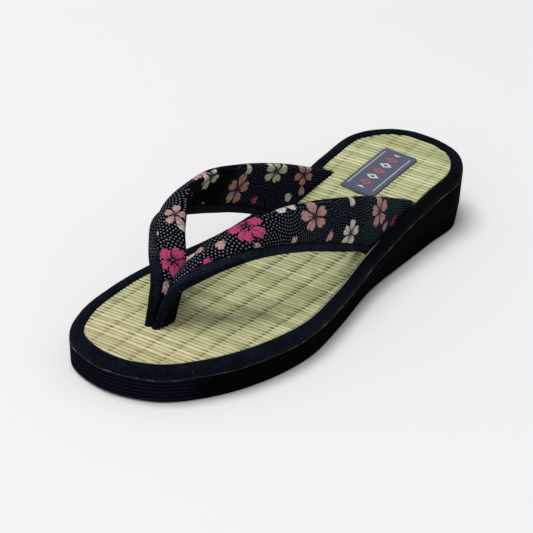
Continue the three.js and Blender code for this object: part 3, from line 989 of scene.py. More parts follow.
@dataclass
class Sole:
    """Foam outsole: a tapered wedge with fine ribs round its lower wall and a shallow zigzag tread."""

    bed: Footbed
    taper: float = 1.0 * MM
    edge: float = 0.9 * MM
    edge_steps: int = 4
    ribs: int = 5
    rib_pitch: float = 1.7 * MM
    rib_depth: float = 0.4 * MM
    rib_start: float = 1.9 * MM
    rib_samples: int = 8
    gap: float = 0.3 * MM
    recess: float = 0.7 * MM
    tread_inset: float = 2.4 * MM
    tread_pitch: float = 4.0 * MM
    tread_swing: float = 3.0 * MM
    tread_wave: float = 14.0 * MM
    tread_depth: float = 0.55 * MM
    tread_rows: int = 470
    tread_columns: int = 49
    tread_rim: float = 0.02

    def lean(self, height: float) -> float:
        """Inset of the wall at a height over the floor."""
        top = float(self.bed.seam_height(np.array([self.bed.from_toe(0.0)]))[0])
        return self.taper * max(0.0, 1 - height / top)

    def body(self) -> bpy.types.Object:
        """The wedge, open to a recess that the tread fills."""
        bed = self.bed
        rings = [
            bed.ring(self.tread_inset, lambda y: bed.underside(y) + self.recess),
            bed.ring(self.tread_inset, bed.underside),
            bed.ring(self.taper + self.edge, bed.underside),
        ]
        for turn in np.linspace(1 / self.edge_steps, 1.0, self.edge_steps) * math.pi / 2:
            rise = self.edge * (1 - math.cos(turn))
            inset = lerp(self.taper + self.edge, self.lean(self.edge), math.sin(turn))
            rings.append(bed.ring(inset, lambda y, rise=rise: bed.underside(y) + rise))
        for k in range(self.ribs * self.rib_samples + 1):
            height = self.rib_start + k / self.rib_samples * self.rib_pitch
            swell = (1 - math.cos(math.tau * k / self.rib_samples)) / 2
            depth = self.rib_depth * swell**2
            rings.append(bed.ring(self.lean(height) + depth, lambda y, h=height: self.raised(y, h)))
        closing = self.rib_start + self.ribs * self.rib_pitch
        for share in (0.3, 0.65, 0.92):
            rings.append(bed.ring(0.0, lambda y, t=share: self.upper_wall(y, closing, t)))
        rings.append(bed.ring(self.gap, lambda y: bed.seam_height(y) - self.gap / 2))
        return wrap_grid("sole", bed.slab(rings))

    def raised(self, y: np.ndarray, height: float) -> np.ndarray:
        """Height of a rib's line, over the sole's own underside and under its seam."""
        over = np.maximum(height, self.bed.underside(y) + height / 2)
        return np.minimum(over, self.bed.seam_height(y) - 3 * self.gap)

    def upper_wall(self, y: np.ndarray, closing: float, share: float) -> np.ndarray:
        """Height between the last rib and the seam."""
        return lerp(self.raised(y, closing), self.bed.seam_height(y) - self.gap / 2, share)

    def tread(self) -> bpy.types.Object:
        """Plate in the recess, cut by zigzag grooves."""
        bed = self.bed
        inset = self.tread_inset + self.gap
        tips = bed.inset(inset)[:, 1]
        rows = np.linspace(tips.min(), tips.max(), self.tread_rows)
        outer, inner = (bed.edge_at(inset, side, rows)[:, None] for side in Side)
        share = np.linspace(0, 1, self.tread_columns)
        x = lerp(inner, outer, share[None])
        y = np.broadcast_to(rows[:, None], x.shape)
        swing = np.abs((x / self.tread_wave) % 1 - 0.5) * 2 * self.tread_swing
        groove = (1 - np.cos(math.tau * (y + swing) / self.tread_pitch)) / 2
        cut = np.where((share > self.tread_rim) & (share < 1 - self.tread_rim), groove**4, 0.0)
        low = np.stack([x, y, bed.underside(y) + self.tread_depth * cut], axis=-1)
        for column in (0, -1):
            low[:, column, 2] = bed.underside(rows) + self.recess
        closed = np.concatenate([low, low[:, -1:], low[:, :1]], axis=1)
        return wrap_grid("sole_tread", close_round(closed))

    def build(self, foam: bpy.types.Material) -> None:
        """Makes the sole and its tread."""
        finish_piece(self.body(), foam, "sole_foam", "outsole")
        finish_piece(self.tread(), foam, "sole_foam")


@dataclass
class Mat:
    """Rush mat: reeds across the sandal, drawn down along the binding rows."""

    bed: Footbed
    strap: "Strap"
    thickness: float = 1.3 * MM
    edge: float = 6.0 * MM
    reed: float = 2.28 * MM
    reed_spread: float = 0.14
    groove: float = 0.44 * MM
    crest: tuple[float, float] = (-0.09, 0.03)
    skew: float = 0.075
    ripple: float = 0.2 * MM
    end_reach: float = 14 * MM
    row_pitch: float = 10.2 * MM
    row_start: float = -1.5 * MM
    row_turn: float = -0.017
    dip: float = 0.20 * MM
    phases: tuple[float, ...] = (0.0, 0.12, 0.34, 0.66, 0.88)
    heights: tuple[float, ...] = (-1.0, -0.42, -0.04, -0.04, -0.42)
    columns_by_row: tuple[float, ...] = (-5.1, -3.4, -1.7, -0.9, -0.35, 0.35, 0.9, 1.7, 3.4)

    def build(self, rush: bpy.types.Material) -> None:
        """Makes the mat as one closed, ridged solid."""
        bed = self.bed
        chance = np.random.default_rng(SEED)
        tips = bed.inset(self.edge)[:, 1]
        start, end = tips.min(), tips.max()
        count = int((end - start) / self.reed)
        joints = start + np.arange(count + 1) * (end - start) / count
        joints[1:-1] += chance.uniform(-self.reed_spread, self.reed_spread, count - 1) * self.reed
        share = np.array(self.phases)
        y = (joints[:-1, None] + np.diff(joints)[:, None] * share).ravel()
        reeds = (np.arange(count)[:, None] + share).ravel()
        crest = chance.uniform(*self.crest, count) * MM
        lift = (np.array(self.heights)[None] * self.groove + crest[:, None] * (share > 0)).ravel()
        y = np.append(y, end)
        reeds = np.append(reeds, float(count))
        lift = np.append(lift, -self.groove)
        x, rows = self.columns(y)
        flow = self.ripple * np.sin(x / (9 * MM) + y[:, None] / (31 * MM)) + self.skew * x
        inside = ease(np.minimum(y - start, end - y) / self.end_reach)[:, None]
        ys = y[:, None] + flow * inside
        x = self.held(x, ys)
        off = (rows / self.row_pitch - np.rint(rows / self.row_pitch)) * self.row_pitch
        pull = ease((off + 4 * MM) / (3.6 * MM)) * (1 - ease((off + 0.2 * MM) / (0.9 * MM)))
        uneven = chance.uniform(0.3, 1.0, (count, 1)).repeat(len(share), axis=0)
        uneven = np.vstack([uneven, uneven[-1:]])
        z = bed.mat_height(ys) + lift[:, None] - self.dip * pull * uneven
        top = np.stack([x, ys, z], axis=-1)
        plan = np.stack([rows / MM, np.broadcast_to(reeds[:, None], rows.shape)], axis=-1)
        sides = [top[:, -1:].copy(), top[:, :1].copy()]
        for side in sides:
            side[..., 2] = (bed.mat_height(y) - self.thickness)[:, None]
        surface = close_round(np.concatenate([top, *sides], axis=1))
        flat = close_round(np.concatenate([plan, plan[:, -1:], plan[:, :1]], axis=1))
        finish_piece(wrap_grid("rush_weave", surface, flat), rush, "rush", "rush_mat")

    def limit(self, side: Side, y: np.ndarray) -> np.ndarray:
        """X of the mat's edge on one side, with the notch that an arm's root fills."""
        strap = self.strap
        ends = [self.bed.from_toe(along) for along in (strap.root_front, strap.root_rear)]
        spread = np.interp(y, ends, strap.root_ends(side)) - strap.root_half - strap.gap
        notch = strap.middle(y) + side.value * spread
        inside = (y > ends[0] - strap.gap) & (y < ends[1] + strap.gap)
        return np.where(inside, notch, self.bed.edge_at(self.edge, side, y))

    def held(self, x: np.ndarray, y: np.ndarray) -> np.ndarray:
        """X of points after a shift along the mat: those on its edges stay on them, and the rest inside."""
        outer, inner = (self.limit(side, y) for side in Side)
        x = np.where(x <= x[:, :1] + MERGE, inner, x)
        x = np.where(x >= x[:, -1:] - MERGE, outer, x)
        return np.clip(x, inner, outer)

    def columns(self, y: np.ndarray) -> tuple[np.ndarray, np.ndarray]:
        """Columns that keep to the binding rows and stop at the mat's edge.

        Args:
            y: the rows' places.

        Returns:
            X of each point, and its distance across from the middle binding row.
        """
        outer, inner = (self.limit(side, y)[:, None] for side in Side)
        fine = np.array(self.columns_by_row) * MM
        rows = (np.arange(-5, 6)[:, None] * self.row_pitch + fine[None]).ravel()
        middle = self.row_start + self.row_turn * y[:, None]
        x = np.clip(middle + rows[None], inner, outer)
        return x, x - middle


@dataclass
class Binding:
    """Navy cloth folded round the footbed's edge, from the seam to its rolled rim over the mat."""

    bed: Footbed
    width: float = 5.7 * MM
    wall: float = 1.3 * MM
    crown: float = 0.6 * MM
    mat: float = 1.3 * MM
    gap: float = 0.3 * MM
    gather: float = 0.07 * MM
    side: tuple[tuple[float, float], ...] = (
        (0.50, 0.00), (0.18, 0.09), (0.00, 0.28), (0.03, 0.50), (0.22, 0.72), (0.70, 0.92)
    )
    shoulder: tuple[tuple[float, float], ...] = ((1.25, 0.10), (1.95, 0.62))
    rim: tuple[tuple[float, float], ...] = (
        (0.50, 1.0), (0.66, 1.02), (0.80, 0.82), (0.91, 0.38), (0.98, -0.25), (1.00, -0.9)
    )

    def build(self, pile: bpy.types.Material) -> None:
        """Makes the binding as one closed band."""
        bed = self.bed
        rings = [
            *(bed.ring(inset * MM, self.up_wall(share)) for inset, share in self.side),
            *(bed.ring(inset * MM, self.over_mat(rise)) for inset, rise in self.shoulder),
            *(bed.ring(share * self.width, self.over_mat(rise)) for share, rise in self.rim),
        ]
        skin = centripetal(np.stack(rings).reshape(len(rings), -1), 3 * (len(rings) - 1), False)
        skin = self.gathered(skin.reshape(len(skin), -1, 3))
        under = [
            bed.ring(self.width, lambda y: bed.mat_height(y) - self.mat),
            bed.ring(self.wall, lambda y: bed.mat_height(y) - self.mat),
            bed.ring(self.wall, self.low),
        ]
        band = np.concatenate([skin, np.stack(under)])
        level = np.r_[np.linspace(0, 1, len(skin)), np.zeros(len(under))]
        plan = np.stack([band[..., 0] / MM, np.broadcast_to(level[:, None], band.shape[:2])], axis=-1)
        band, plan = (close_round(np.concatenate([part, part[:1]])) for part in (band, plan))
        finish_piece(wrap_grid("binding_cloth", band, plan), pile, "navy_velvet", "edge_binding")

    def low(self, y: np.ndarray) -> np.ndarray:
        """Height of the binding's lower edge."""
        return self.bed.seam_height(y) + self.gap / 2

    def up_wall(self, share: float) -> Height:
        """Height at a share of the way from the lower edge to the mat's level."""
        return lambda y: lerp(self.low(y), self.bed.mat_height(y), share)

    def over_mat(self, rise: float) -> Height:
        """Height over the mat's level, as a share of the crown."""
        return lambda y: self.bed.mat_height(y) + rise * self.crown

    def gathered(self, skin: np.ndarray) -> np.ndarray:
        """Adds the small puckers that the cloth takes round the toe and heel."""
        run = run_of(skin[0])
        small = np.sin(run / (1.9 * MM)) + 0.7 * np.sin(run / (3.1 * MM) + 1.3)
        ripple = small + 0.5 * np.sin(run / (7.7 * MM))
        ends = 0.35 + 0.65 * ease((np.abs(skin[0, :, 1]) / self.bed.length - 0.3) / 0.15)
        swell = np.sin(np.linspace(0, math.pi, len(skin)))[:, None] * (ripple * ends)[None] * self.gather
        moved = skin.copy()
        moved[..., 2] += swell * np.linspace(0, 1, len(skin))[:, None]
        return moved


@dataclass
class Label:
    """Woven label on the heel, with a row of stitches round it."""

    bed: Footbed
    width: float = 18.2 * MM
    length: float = 38.6 * MM
    thickness: float = 0.7 * MM
    corner: float = 0.8 * MM
    corner_pull: float = 0.29
    lift: float = 0.3 * MM
    along: float = 0.827
    middle: float = -4.17 * MM
    rows: int = 61
    columns: int = 31
    stitch_inset: float = 0.9 * MM
    stitch_pitch: float = 2.3 * MM
    stitch_size: tuple[float, float, float] = (0.78 * MM, 0.17 * MM, 0.14 * MM)

    def build(self, cloth: bpy.types.Material, thread: bpy.types.Material) -> None:
        """Makes the label and its stitches."""
        finish_piece(self.patch(), cloth, "label_cloth", "label_patch")
        finish_piece(self.stitches(), thread, "label_cloth")

    def height(self, y: np.ndarray) -> np.ndarray:
        """Height of the label's top."""
        return self.bed.mat_height(y) + self.lift + self.thickness

    def patch(self) -> bpy.types.Object:
        """The cloth: soft edges that sink into the reeds, on a closed thin body."""
        centre = self.bed.from_toe(self.along)
        x = np.linspace(-0.5, 0.5, self.columns) * self.width
        y = np.linspace(-0.5, 0.5, self.rows) * self.length
        xs, ys = np.meshgrid(x, y)
        tuck = np.maximum(np.abs(xs) - (self.width / 2 - self.corner), 0)
        reach = np.maximum(np.abs(ys) - (self.length / 2 - self.corner), 0)
        over = np.clip(np.hypot(tuck, reach) / self.corner, 0, 1)
        roll = 1 - np.sqrt(1 - over**2 * 0.98)
        wave = 0.05 * MM * np.sin(xs / (2.9 * MM)) * np.sin(ys / (4.3 * MM))
        z = self.height(centre + ys) - roll * self.thickness * 0.9 + wave
        both = np.minimum(tuck, reach)
        pulled = np.sign(xs) * (np.abs(xs) - both * 0.35) * (1 - self.corner_pull * both / self.corner)
        top = np.stack([self.middle + pulled, centre + ys, z], axis=-1)
        under = top.copy()
        under[..., 2] = self.bed.mat_height(top[..., 1]) + self.lift / 3
        flat = close_round(np.concatenate([top, under[:, ::-1]], axis=1))
        plan = np.stack([xs / MM, ys / MM], axis=-1)
        plan = close_round(np.concatenate([plan, plan[:, ::-1]], axis=1))
        front, rear = (
            np.concatenate([edge, edge[:, ::-1], edge[:, :1]], axis=1)
            for edge in (flat[:1, :self.columns], flat[-1:, :self.columns])
        )
        return wrap_grid("label_woven", np.concatenate([front, flat, rear]), repeat_ends(plan))

    def stitches(self) -> bpy.types.Object:
        """Short stitches round the label, each a copy of one rounded thread, joined in one piece."""
        deselect()
        bpy.ops.mesh.primitive_uv_sphere_add(segments=8, ring_count=6, radius=1.0)
        model = bpy.context.object
        half_x = self.width / 2 - self.stitch_inset
        half_y = self.length / 2 - self.stitch_inset
        corners = [(-half_x, -half_y), (half_x, -half_y), (half_x, half_y), (-half_x, half_y)]
        pieces = []
        for k, (x0, y0) in enumerate(corners):
            x1, y1 = corners[(k + 1) % 4]
            count = round(math.hypot(x1 - x0, y1 - y0) / self.stitch_pitch)
            for n in range(count):
                t = (n + 0.5) / count
                copy = bpy.data.objects.new("stitch", model.data.copy())
                bpy.context.collection.objects.link(copy)
                bearing = math.atan2(y1 - y0, x1 - x0)
                copy.data.transform(self.stitch_place(lerp(x0, x1, t), lerp(y0, y1, t), bearing, bool(k % 2)))
                pieces.append(copy)
        bpy.data.objects.remove(model)
        deselect()
        for piece in pieces:
            piece.select_set(True)
        bpy.context.view_layer.objects.active = pieces[0]
        bpy.ops.object.join()
        pieces[0].name = "label_stitches"
        pieces[0].data.name = "label_stitches"
        bpy.ops.object.shade_smooth()
        return pieces[0]

    def stitch_place(self, x: float, y: float, bearing: float, lengthwise: bool) -> Matrix:
        """Size and place of one stitch on the label's top.

        Args:
            x: its distance across from the label's middle.
            y: its distance along from the label's middle.
            bearing: the direction that it runs in.
            lengthwise: whether it runs up the slope of the heel.

        Returns:
            The matrix that moves the model thread there.
        """
        half = 0.5 * MM
        y += self.bed.from_toe(self.along)
        ahead, behind = (float(self.height(np.array([y + d]))[0]) for d in (half, -half))
        slope = Matrix.Rotation(math.atan2(ahead - behind, 2 * half) * lengthwise, 4, "X")
        place = Matrix.Translation((self.middle + x, y, (ahead + behind) / 2 + 0.02 * MM))
        return place @ slope @ Matrix.Rotation(bearing, 4, "Z") @ Matrix.Diagonal((*self.stitch_size, 1.0))


@dataclass
class Stations:
    """Sections along an arm: front edge, direction and reach across, outward normal and run in metres."""

    front: np.ndarray
    across: np.ndarray
    width: np.ndarray
    normal: np.ndarray
    share: np.ndarray
    run: np.ndarray
    lean: np.ndarray

    def plan(self, back: np.ndarray) -> np.ndarray:
        """Flat cloth coordinates in mm of points at distances back from the front edge."""
        off = back - self.width[:, None] / 2
        along = self.run[:, None] + off * self.lean[:, None]
        across = off * np.sqrt(1 - self.lean[:, None] ** 2)
        return np.stack([along, across], axis=-1) / MM

    def spot(self, along: float, across: float) -> tuple[float, float]:
        """Flat cloth coordinates in mm of a place along the arm in mm and across it as a share."""
        columns = self.plan(self.width[:, None] * across)[:, 0]
        return tuple(float(np.interp(along, self.run / MM, columns[:, k])) for k in range(2))


@dataclass
class Strap:
    """Two padded arms that meet in the toe post, each with a rolled edging along its front."""

    bed: Footbed
    post_length: float = 12.4 * MM
    thickness: float = 4.2 * MM
    crown: float = 0.5 * MM
    lining_crown: float = 0.15 * MM
    bow: float = 1.4 * MM
    rise: float = 42 * MM
    arm_join: float = 0.25 * MM
    seam_dip: float = 0.30
    seam_reach: float = 1.1 * MM
    pucker: float = 0.10 * MM
    pucker_reach: float = 2.6 * MM
    slack: float = 0.16 * MM
    edging_width: float = 5.2 * MM
    edging_thickness: float = 4.6 * MM
    post_edging_width: float = 3.6 * MM
    edging_pinch: float = 0.72
    edging_growth: float = 0.18
    edging_roll: float = 0.09 * MM
    gap: float = 0.3 * MM
    mat: float = 1.3 * MM
    mat_edge: float = 6.0 * MM
    post_along: float = 0.157
    post_across: float = -0.060
    root_front: float = 0.592
    root_rear: float = 0.781
    steps: int = 240
    face_columns: int = 25
    fold_columns: int = 7
    arm_front: tuple[tuple[float, float, float], ...] = (
        (0.160, 0.241, 0.362),
        (0.200, 0.602, 0.543),
        (0.253, 0.924, 0.652),
        (0.328, 1.021, 0.602),
        (0.417, 1.033, 0.455),
        (0.513, 1.070, 0.233),
    )
    arm_rear: tuple[tuple[float, float, float], ...] = (
        (0.221, 0.010, 0.440),
        (0.257, 0.311, 0.790),
        (0.312, 0.645, 0.976),
        (0.395, 0.870, 1.000),
        (0.503, 0.928, 0.845),
        (0.629, 0.901, 0.521),
    )

    def __post_init__(self) -> None:
        """Works out the strap's middle line and the spread of its roots."""
        bed = self.bed
        unshift = bed.toe_tip * bed.ball_width - bed.outline[0, 0]
        self.post_y = bed.from_toe(self.post_along)
        self.root_y = bed.from_toe((self.root_front + self.root_rear) / 2)
        edges = [float(bed.edge_at(self.mat_edge, side, np.array([self.root_y]))[0]) for side in Side]
        self.post_x = self.post_across * bed.ball_width - unshift
        self.root_x = sum(edges) / 2
        self.root_spread = (edges[0] - edges[1]) / 2
        self.root_half = max(self.thickness / 2 + self.crown, self.edging_thickness / 2)

    def middle(self, y: np.ndarray) -> np.ndarray:
        """X of the strap's middle line."""
        return lerp(self.post_x, self.root_x, (y - self.post_y) / (self.root_y - self.post_y))

    def root_ends(self, side: Side) -> tuple[float, float]:
        """Spreads of an arm's straight root at its front and rear, clear of the mat's edge."""
        along = lerp(self.root_front, self.root_rear, np.linspace(0, 1, 11))
        y = self.bed.from_toe(along)
        spread = side.value * (self.bed.edge_at(self.mat_edge, side, y) - self.middle(y))
        straight = np.linspace(spread[0], spread[-1], 11)
        bulge = max(0.0, float((straight - spread).max()))
        return spread[0] - bulge - self.root_half, spread[-1] - bulge - self.root_half

    def edge(
        self, table: Sequence[Sequence[float]], post_end: float, root_end: float, root_across: float
    ) -> np.ndarray:
        """One edge of an arm, from under the mat through the post and down to the root.

        Args:
            table: place along the sandal, spread and rise of each point of the free edge, as shares.
            post_end: Y of its end in the post.
            root_end: Y of its end in the root.
            root_across: spread of its end in the root.

        Returns:
            Points in the arm's own spread, along the sandal and up.
        """
        bed = self.bed
        rows = np.array(table)
        y = bed.from_toe(rows[:, 0])
        free = np.column_stack([rows[:, 1] * self.root_spread, y, bed.mat_height(y) + rows[:, 2] * self.rise])
        post = self.thickness / 2 - self.arm_join
        start, end = (
            np.array([[across, y, bed.mat_height(np.array([y]))[0]]])
            for across, y in ((post, post_end), (root_across, root_end))
        )
        over = centripetal(np.vstack([start, free, end]), self.steps, False)
        down = np.array([0, 0, self.mat])
        return np.vstack([start - down, over, end - down])

    def stations(self, side: Side) -> Stations:
        """Sections along one arm, in its own spread from the middle line."""
        bed = self.bed
        roots = self.root_ends(side)
        half = self.post_length / 2
        front = self.edge(self.arm_front, self.post_y - half, bed.from_toe(self.root_front), roots[0])
        rear = self.edge(self.arm_rear, self.post_y + half, bed.from_toe(self.root_rear), roots[1])
        middle = (front + rear) / 2
        forward = np.vstack([middle[1:], middle[-1:]]) - np.vstack([middle[:1], middle[:-1]])
        across = rear - front
        width = np.linalg.norm(across, axis=1)
        across /= width[:, None]
        normal = np.cross(forward, across)
        normal /= np.linalg.norm(normal, axis=1)[:, None]
        share = np.clip((np.arange(len(front)) - 1) / self.steps, 0, 1)
        forward /= np.linalg.norm(forward, axis=1)[:, None]
        lean = np.clip((forward * across).sum(axis=1), -0.9, 0.9)
        return Stations(front, across, width, normal, share, run_of(middle) - self.mat, lean)

    def points(self, st: Stations, back: np.ndarray, off: np.ndarray, side: Side) -> Surface:
        """Points at distances back from the front edge and off the bowed middle surface."""
        bow = self.bow * np.sin(math.pi * st.share)[:, None] * np.sin(math.pi * back / st.width[:, None])
        place = st.front[:, None] + st.across[:, None] * back[..., None]
        place += st.normal[:, None] * (bow + off)[..., None]
        place[..., 0] = self.middle(place[..., 1]) + side.value * place[..., 0]
        return place

    def edging_size(self, st: Stations) -> tuple[np.ndarray, np.ndarray]:
        """The edging's reach back from the front edge, and its half thickness."""
        growth = ease(st.share / self.edging_growth)[:, None]
        post_half = self.thickness / 2 - self.arm_join - self.gap / 2
        return (
            lerp(self.post_edging_width, self.edging_width, growth),
            lerp(post_half, self.edging_thickness / 2, growth),
        )

    def arm(self, side: Side, cloths: dict[Face, bpy.types.Material]) -> bpy.types.Object:
        """A padded arm behind its edging, crowned, puckered at the seam and folded round at the rear.

        Args:
            side: the arm's side of the foot.
            cloths: the material of each face.

        Returns:
            The arm.
        """
        st = self.stations(side)
        start = self.edging_size(st)[0] + self.gap / 2
        end = st.width[:, None]
        half = self.thickness / 2
        even = np.linspace(0, 1, self.face_columns)[None]
        face = start + (end - half - start) * (ease(even) * 0.35 + even * 0.65)
        turn = np.linspace(0, math.pi / 2, self.fold_columns)[None, 1:]
        fold = end - half + half * np.sin(turn)
        back_top = np.concatenate([face, fold], axis=1)
        skin = np.broadcast_to(half * np.cos(turn), fold.shape)
        base = np.concatenate([np.full_like(face, half), skin], axis=1)
        inward = (back_top - start) / (end - start)
        dome = np.sin(math.pi * np.clip(inward, 0, 1))
        base = base * (1 - self.seam_dip * np.exp(-(back_top - start) / self.seam_reach))
        run = st.run[:, None]
        phase = 1.7 * np.sin(run / (13 * MM)) + (0.9 if side is Side.OUTER else 2.3)
        ripple = np.sin(run / (0.95 * MM) + phase) + 0.6 * np.sin(run / (1.7 * MM) + 2 * phase)
        fade = ease(st.share / 0.12)[:, None] * ease((1 - st.share) / 0.08)[:, None]
        pucker = self.pucker * ripple * np.exp(-(back_top - start) / self.pucker_reach) * fade
        slack = self.slack * np.sin(run / (8.3 * MM) + 3.1 * inward) * dome * fade
        top = base + self.crown * dome + pucker + slack
        lining = -base - self.lining_crown * dome - 0.6 * pucker
        back = np.concatenate([back_top, back_top[:, ::-1]], axis=1)
        off = np.concatenate([top, lining[:, ::-1]], axis=1)
        surface = cap_ends(close_round(self.points(st, back, off, side)))
        plan = close_round(repeat_ends(st.plan(back)))
        piece = wrap_grid(f"strap_arm_{side.name.lower()}", surface, plan)
        self.dress_faces(piece, st, side, cloths)
        return piece

    def dress_faces(
        self, piece: bpy.types.Object, st: Stations, side: Side, cloths: dict[Face, bpy.types.Material]
    ) -> None:
        """Gives the arm's top and lining each their own cloth, split along the middle surface."""
        mesh = piece.data
        for face in Face:
            mesh.materials.append(cloths[face])
        centre, normal = np.empty(len(mesh.polygons) * 3), np.empty(len(mesh.polygons) * 3)
        mesh.polygons.foreach_get("center", centre)
        mesh.polygons.foreach_get("normal", normal)
        middle = self.points(st, st.width[:, None] / 2, np.zeros_like(st.width[:, None]), side)[:, 0]
        outward = st.normal * (side.value, 1, 1)
        centre, normal = centre.reshape(-1, 3), normal.reshape(-1, 3)
        nearest = np.argmin(((centre[:, None] - middle[None]) ** 2).sum(axis=-1), axis=1)
        under = (normal * outward[nearest]).sum(axis=1) < 0
        mesh.polygons.foreach_set("material_index", under.astype(np.int32))
        mesh.update()

    def edging(self, side: Side) -> bpy.types.Object:
        """A rolled cloth tube along the front of an arm, pinched where the padding begins."""
        st = self.stations(side)
        width, half = self.edging_size(st)
        nose = np.linspace(0, math.pi / 2, self.fold_columns)[None]
        t = np.linspace(0, 1, self.fold_columns)[None, 1:]
        back = np.concatenate([half * (1 - np.cos(nose)), half + (width - half) * t], axis=1)
        off = np.concatenate([half * np.sin(nose), half * (1 - (1 - self.edging_pinch) * ease(t))], axis=1)
        run = st.run[:, None]
        swell = np.sin(run / (2.3 * MM) + 1.9 * np.sin(run / (11 * MM)) + 4 * back / self.edging_width)
        fade = ease(st.share / 0.1)[:, None] * ease((1 - st.share) / 0.06)[:, None]
        off = off + self.edging_roll * swell * fade * (off > half * 0.3)
        both = np.concatenate([back, back[:, :0:-1]], axis=1)
        offs = np.concatenate([off, -off[:, :0:-1]], axis=1)
        surface = cap_ends(close_round(self.points(st, both, offs, side)))
        plan = np.stack([np.broadcast_to(run / MM, both.shape), both / MM], axis=-1)
        return wrap_grid(f"edging_roll_{side.name.lower()}", surface, close_round(repeat_ends(plan)))

    def build(self, groups: Groups) -> None:
        """Makes both arms and both edgings."""
        # The lining takes the print in painted shade.
        cloth = {Face.TOP: PrintedCloth, Face.LINING: ShadedCloth}
        for side in Side:
            name = side.name.lower()
            st = self.stations(side)
            cloths = {
                face: cloth[face](groups, f"print_{name}_{face.value}", st, PRINT[side, face]).material
                for face in Face
            }
            arm = finish_piece(self.arm(side, cloths), None, "print_cloth", "strap")
            length = float(st.run[-1] / MM)
            dotted = ((length - 9.0, length + 9.0), *EDGING_DOTS[side])
            pile = EdgingPile(groups, f"navy_edging_{name}", dotted=dotted).material
            finish_piece(self.edging(side), pile, "navy_velvet", f"strap_edging_{name}")


EDGING_DOTS: dict[Side, tuple[tuple[float, float], ...]] = {Side.OUTER: (), Side.INNER: ((27.0, 54.0),)}

PRINT: dict[tuple[Side, Face], tuple[Blossom, ...]] = {
    (Side.OUTER, Face.TOP): (
        Blossom(25.5, 0.84, 6.0, 10, Ink.CREAM, 1),
        Blossom(30.0, 0.78, 5.0, 30, Ink.ROSE, 1),
        Blossom(40.1, 0.58, 5.2, 200, Ink.ROSE, 1),
        Blossom(35.3, 0.28, 5.0, 20, Ink.MAGENTA, 1),
        Blossom(48.9, 0.80, 6.7, 24, Ink.MAGENTA, width=1.13),
        Blossom(56.1, 0.26, 4.4, 150, Ink.DUSTY, 1),
        Blossom(63.5, 0.99, 6.6, 190, Ink.CREAM, 1, 1.3),
        Blossom(68.5, 0.99, 5.8, -30, Ink.CREAM, 1, 1.3),
        Blossom(76.4, 0.27, 5.2, 80, Ink.ROSE, 1),
        Blossom(83.5, 0.72, 8.8, 30, Ink.DUSTY, squash=1.45),
        Blossom(103.3, 0.31, 6.2, -80, Ink.DUSTY, 1),
        Blossom(107.4, 0.95, 6.0, -80, Ink.CREAM, 1),
        Blossom(119.0, 0.35, 6.3, 90, Ink.CREAM),
        Blossom(133.6, 0.75, 7.0, 35, Ink.DUSTY),
        Blossom(148.8, 0.50, 6.2, -120, Ink.DUSTY, 1),
        Blossom(155.0, 0.57, 10.0, -130, Ink.MAGENTA, 1, width=0.30),
    ),
    (Side.OUTER, Face.LINING): (
        Blossom(30, 0.6, 7.0, 10, Ink.DUSTY),
        Blossom(48, 0.8, 5.0, 70, Ink.CREAM, 1),
        Blossom(58, 0.45, 5.2, 200, Ink.MAGENTA, 1),
        Blossom(74, 0.72, 8.4, 30, Ink.CREAM),
        Blossom(93, 0.38, 5.4, 140, Ink.ROSE, 1),
        Blossom(108, 0.66, 8.6, 80, Ink.DUSTY),
        Blossom(126, 0.85, 5.8, 20, Ink.CREAM, 1),
        Blossom(137, 0.5, 8.0, 0, Ink.MAGENTA),
        Blossom(152, 0.8, 5.6, 250, Ink.ROSE, 1),
    ),
    (Side.INNER, Face.TOP): (
        Blossom(15.5, 0.38, 6.6, 190, Ink.DUSTY, 1),
        Blossom(24.0, 0.61, 5.6, 31, Ink.MAGENTA, squash=0.82, width=1.1),
        Blossom(34.3, 0.98, 5.6, 100, Ink.CREAM, 1),
        Blossom(39.6, 0.28, 3.0, 30, Ink.WHITE, 1),
        Blossom(41.1, 0.80, 4.9, 10, Ink.ROSE, squash=1.05, width=0.88),
        Blossom(56.0, 0.35, 5.0, 140, Ink.CREAM, 1),
        Blossom(69.3, 0.77, 6.6, 60, Ink.ROSE, 3),
        Blossom(82.0, 0.45, 8.2, 15, Ink.DUSTY),
        Blossom(97, 0.82, 5.6, 120, Ink.CREAM, 1),
        Blossom(106, 0.4, 5.4, 210, Ink.MAGENTA, 1),
        Blossom(120, 0.68, 8.4, 60, Ink.CREAM),
        Blossom(136, 0.4, 5.8, 30, Ink.DUSTY, 1),
        Blossom(148, 0.72, 7.8, 100, Ink.DUSTY),
    ),
    (Side.INNER, Face.LINING): (
        Blossom(53.9, 0.91, 4.6, 200, Ink.MAGENTA, 1),
        Blossom(73.0, 0.93, 6.8, -95, Ink.CREAM),
        Blossom(85.7, 0.21, 2.6, 30, Ink.WHITE, 1),
        Blossom(100.0, 0.93, 6.2, -90, Ink.CREAM, 1),
        Blossom(104.1, 0.50, 7.6, 84, Ink.DUSTY),
        Blossom(119.9, 0.88, 8.2, 13, Ink.CREAM, squash=1.4),
        Blossom(124.9, 0.28, 5.4, 0, Ink.MAGENTA, 1),
        Blossom(139.9, 0.86, 7.2, -12, Ink.DUSTY, squash=1.4),
        Blossom(146.1, 0.41, 6.0, 200, Ink.CREAM, 1),
        Blossom(149.7, 0.56, 6.2, -80, Ink.DUSTY, 1),
    ),
}


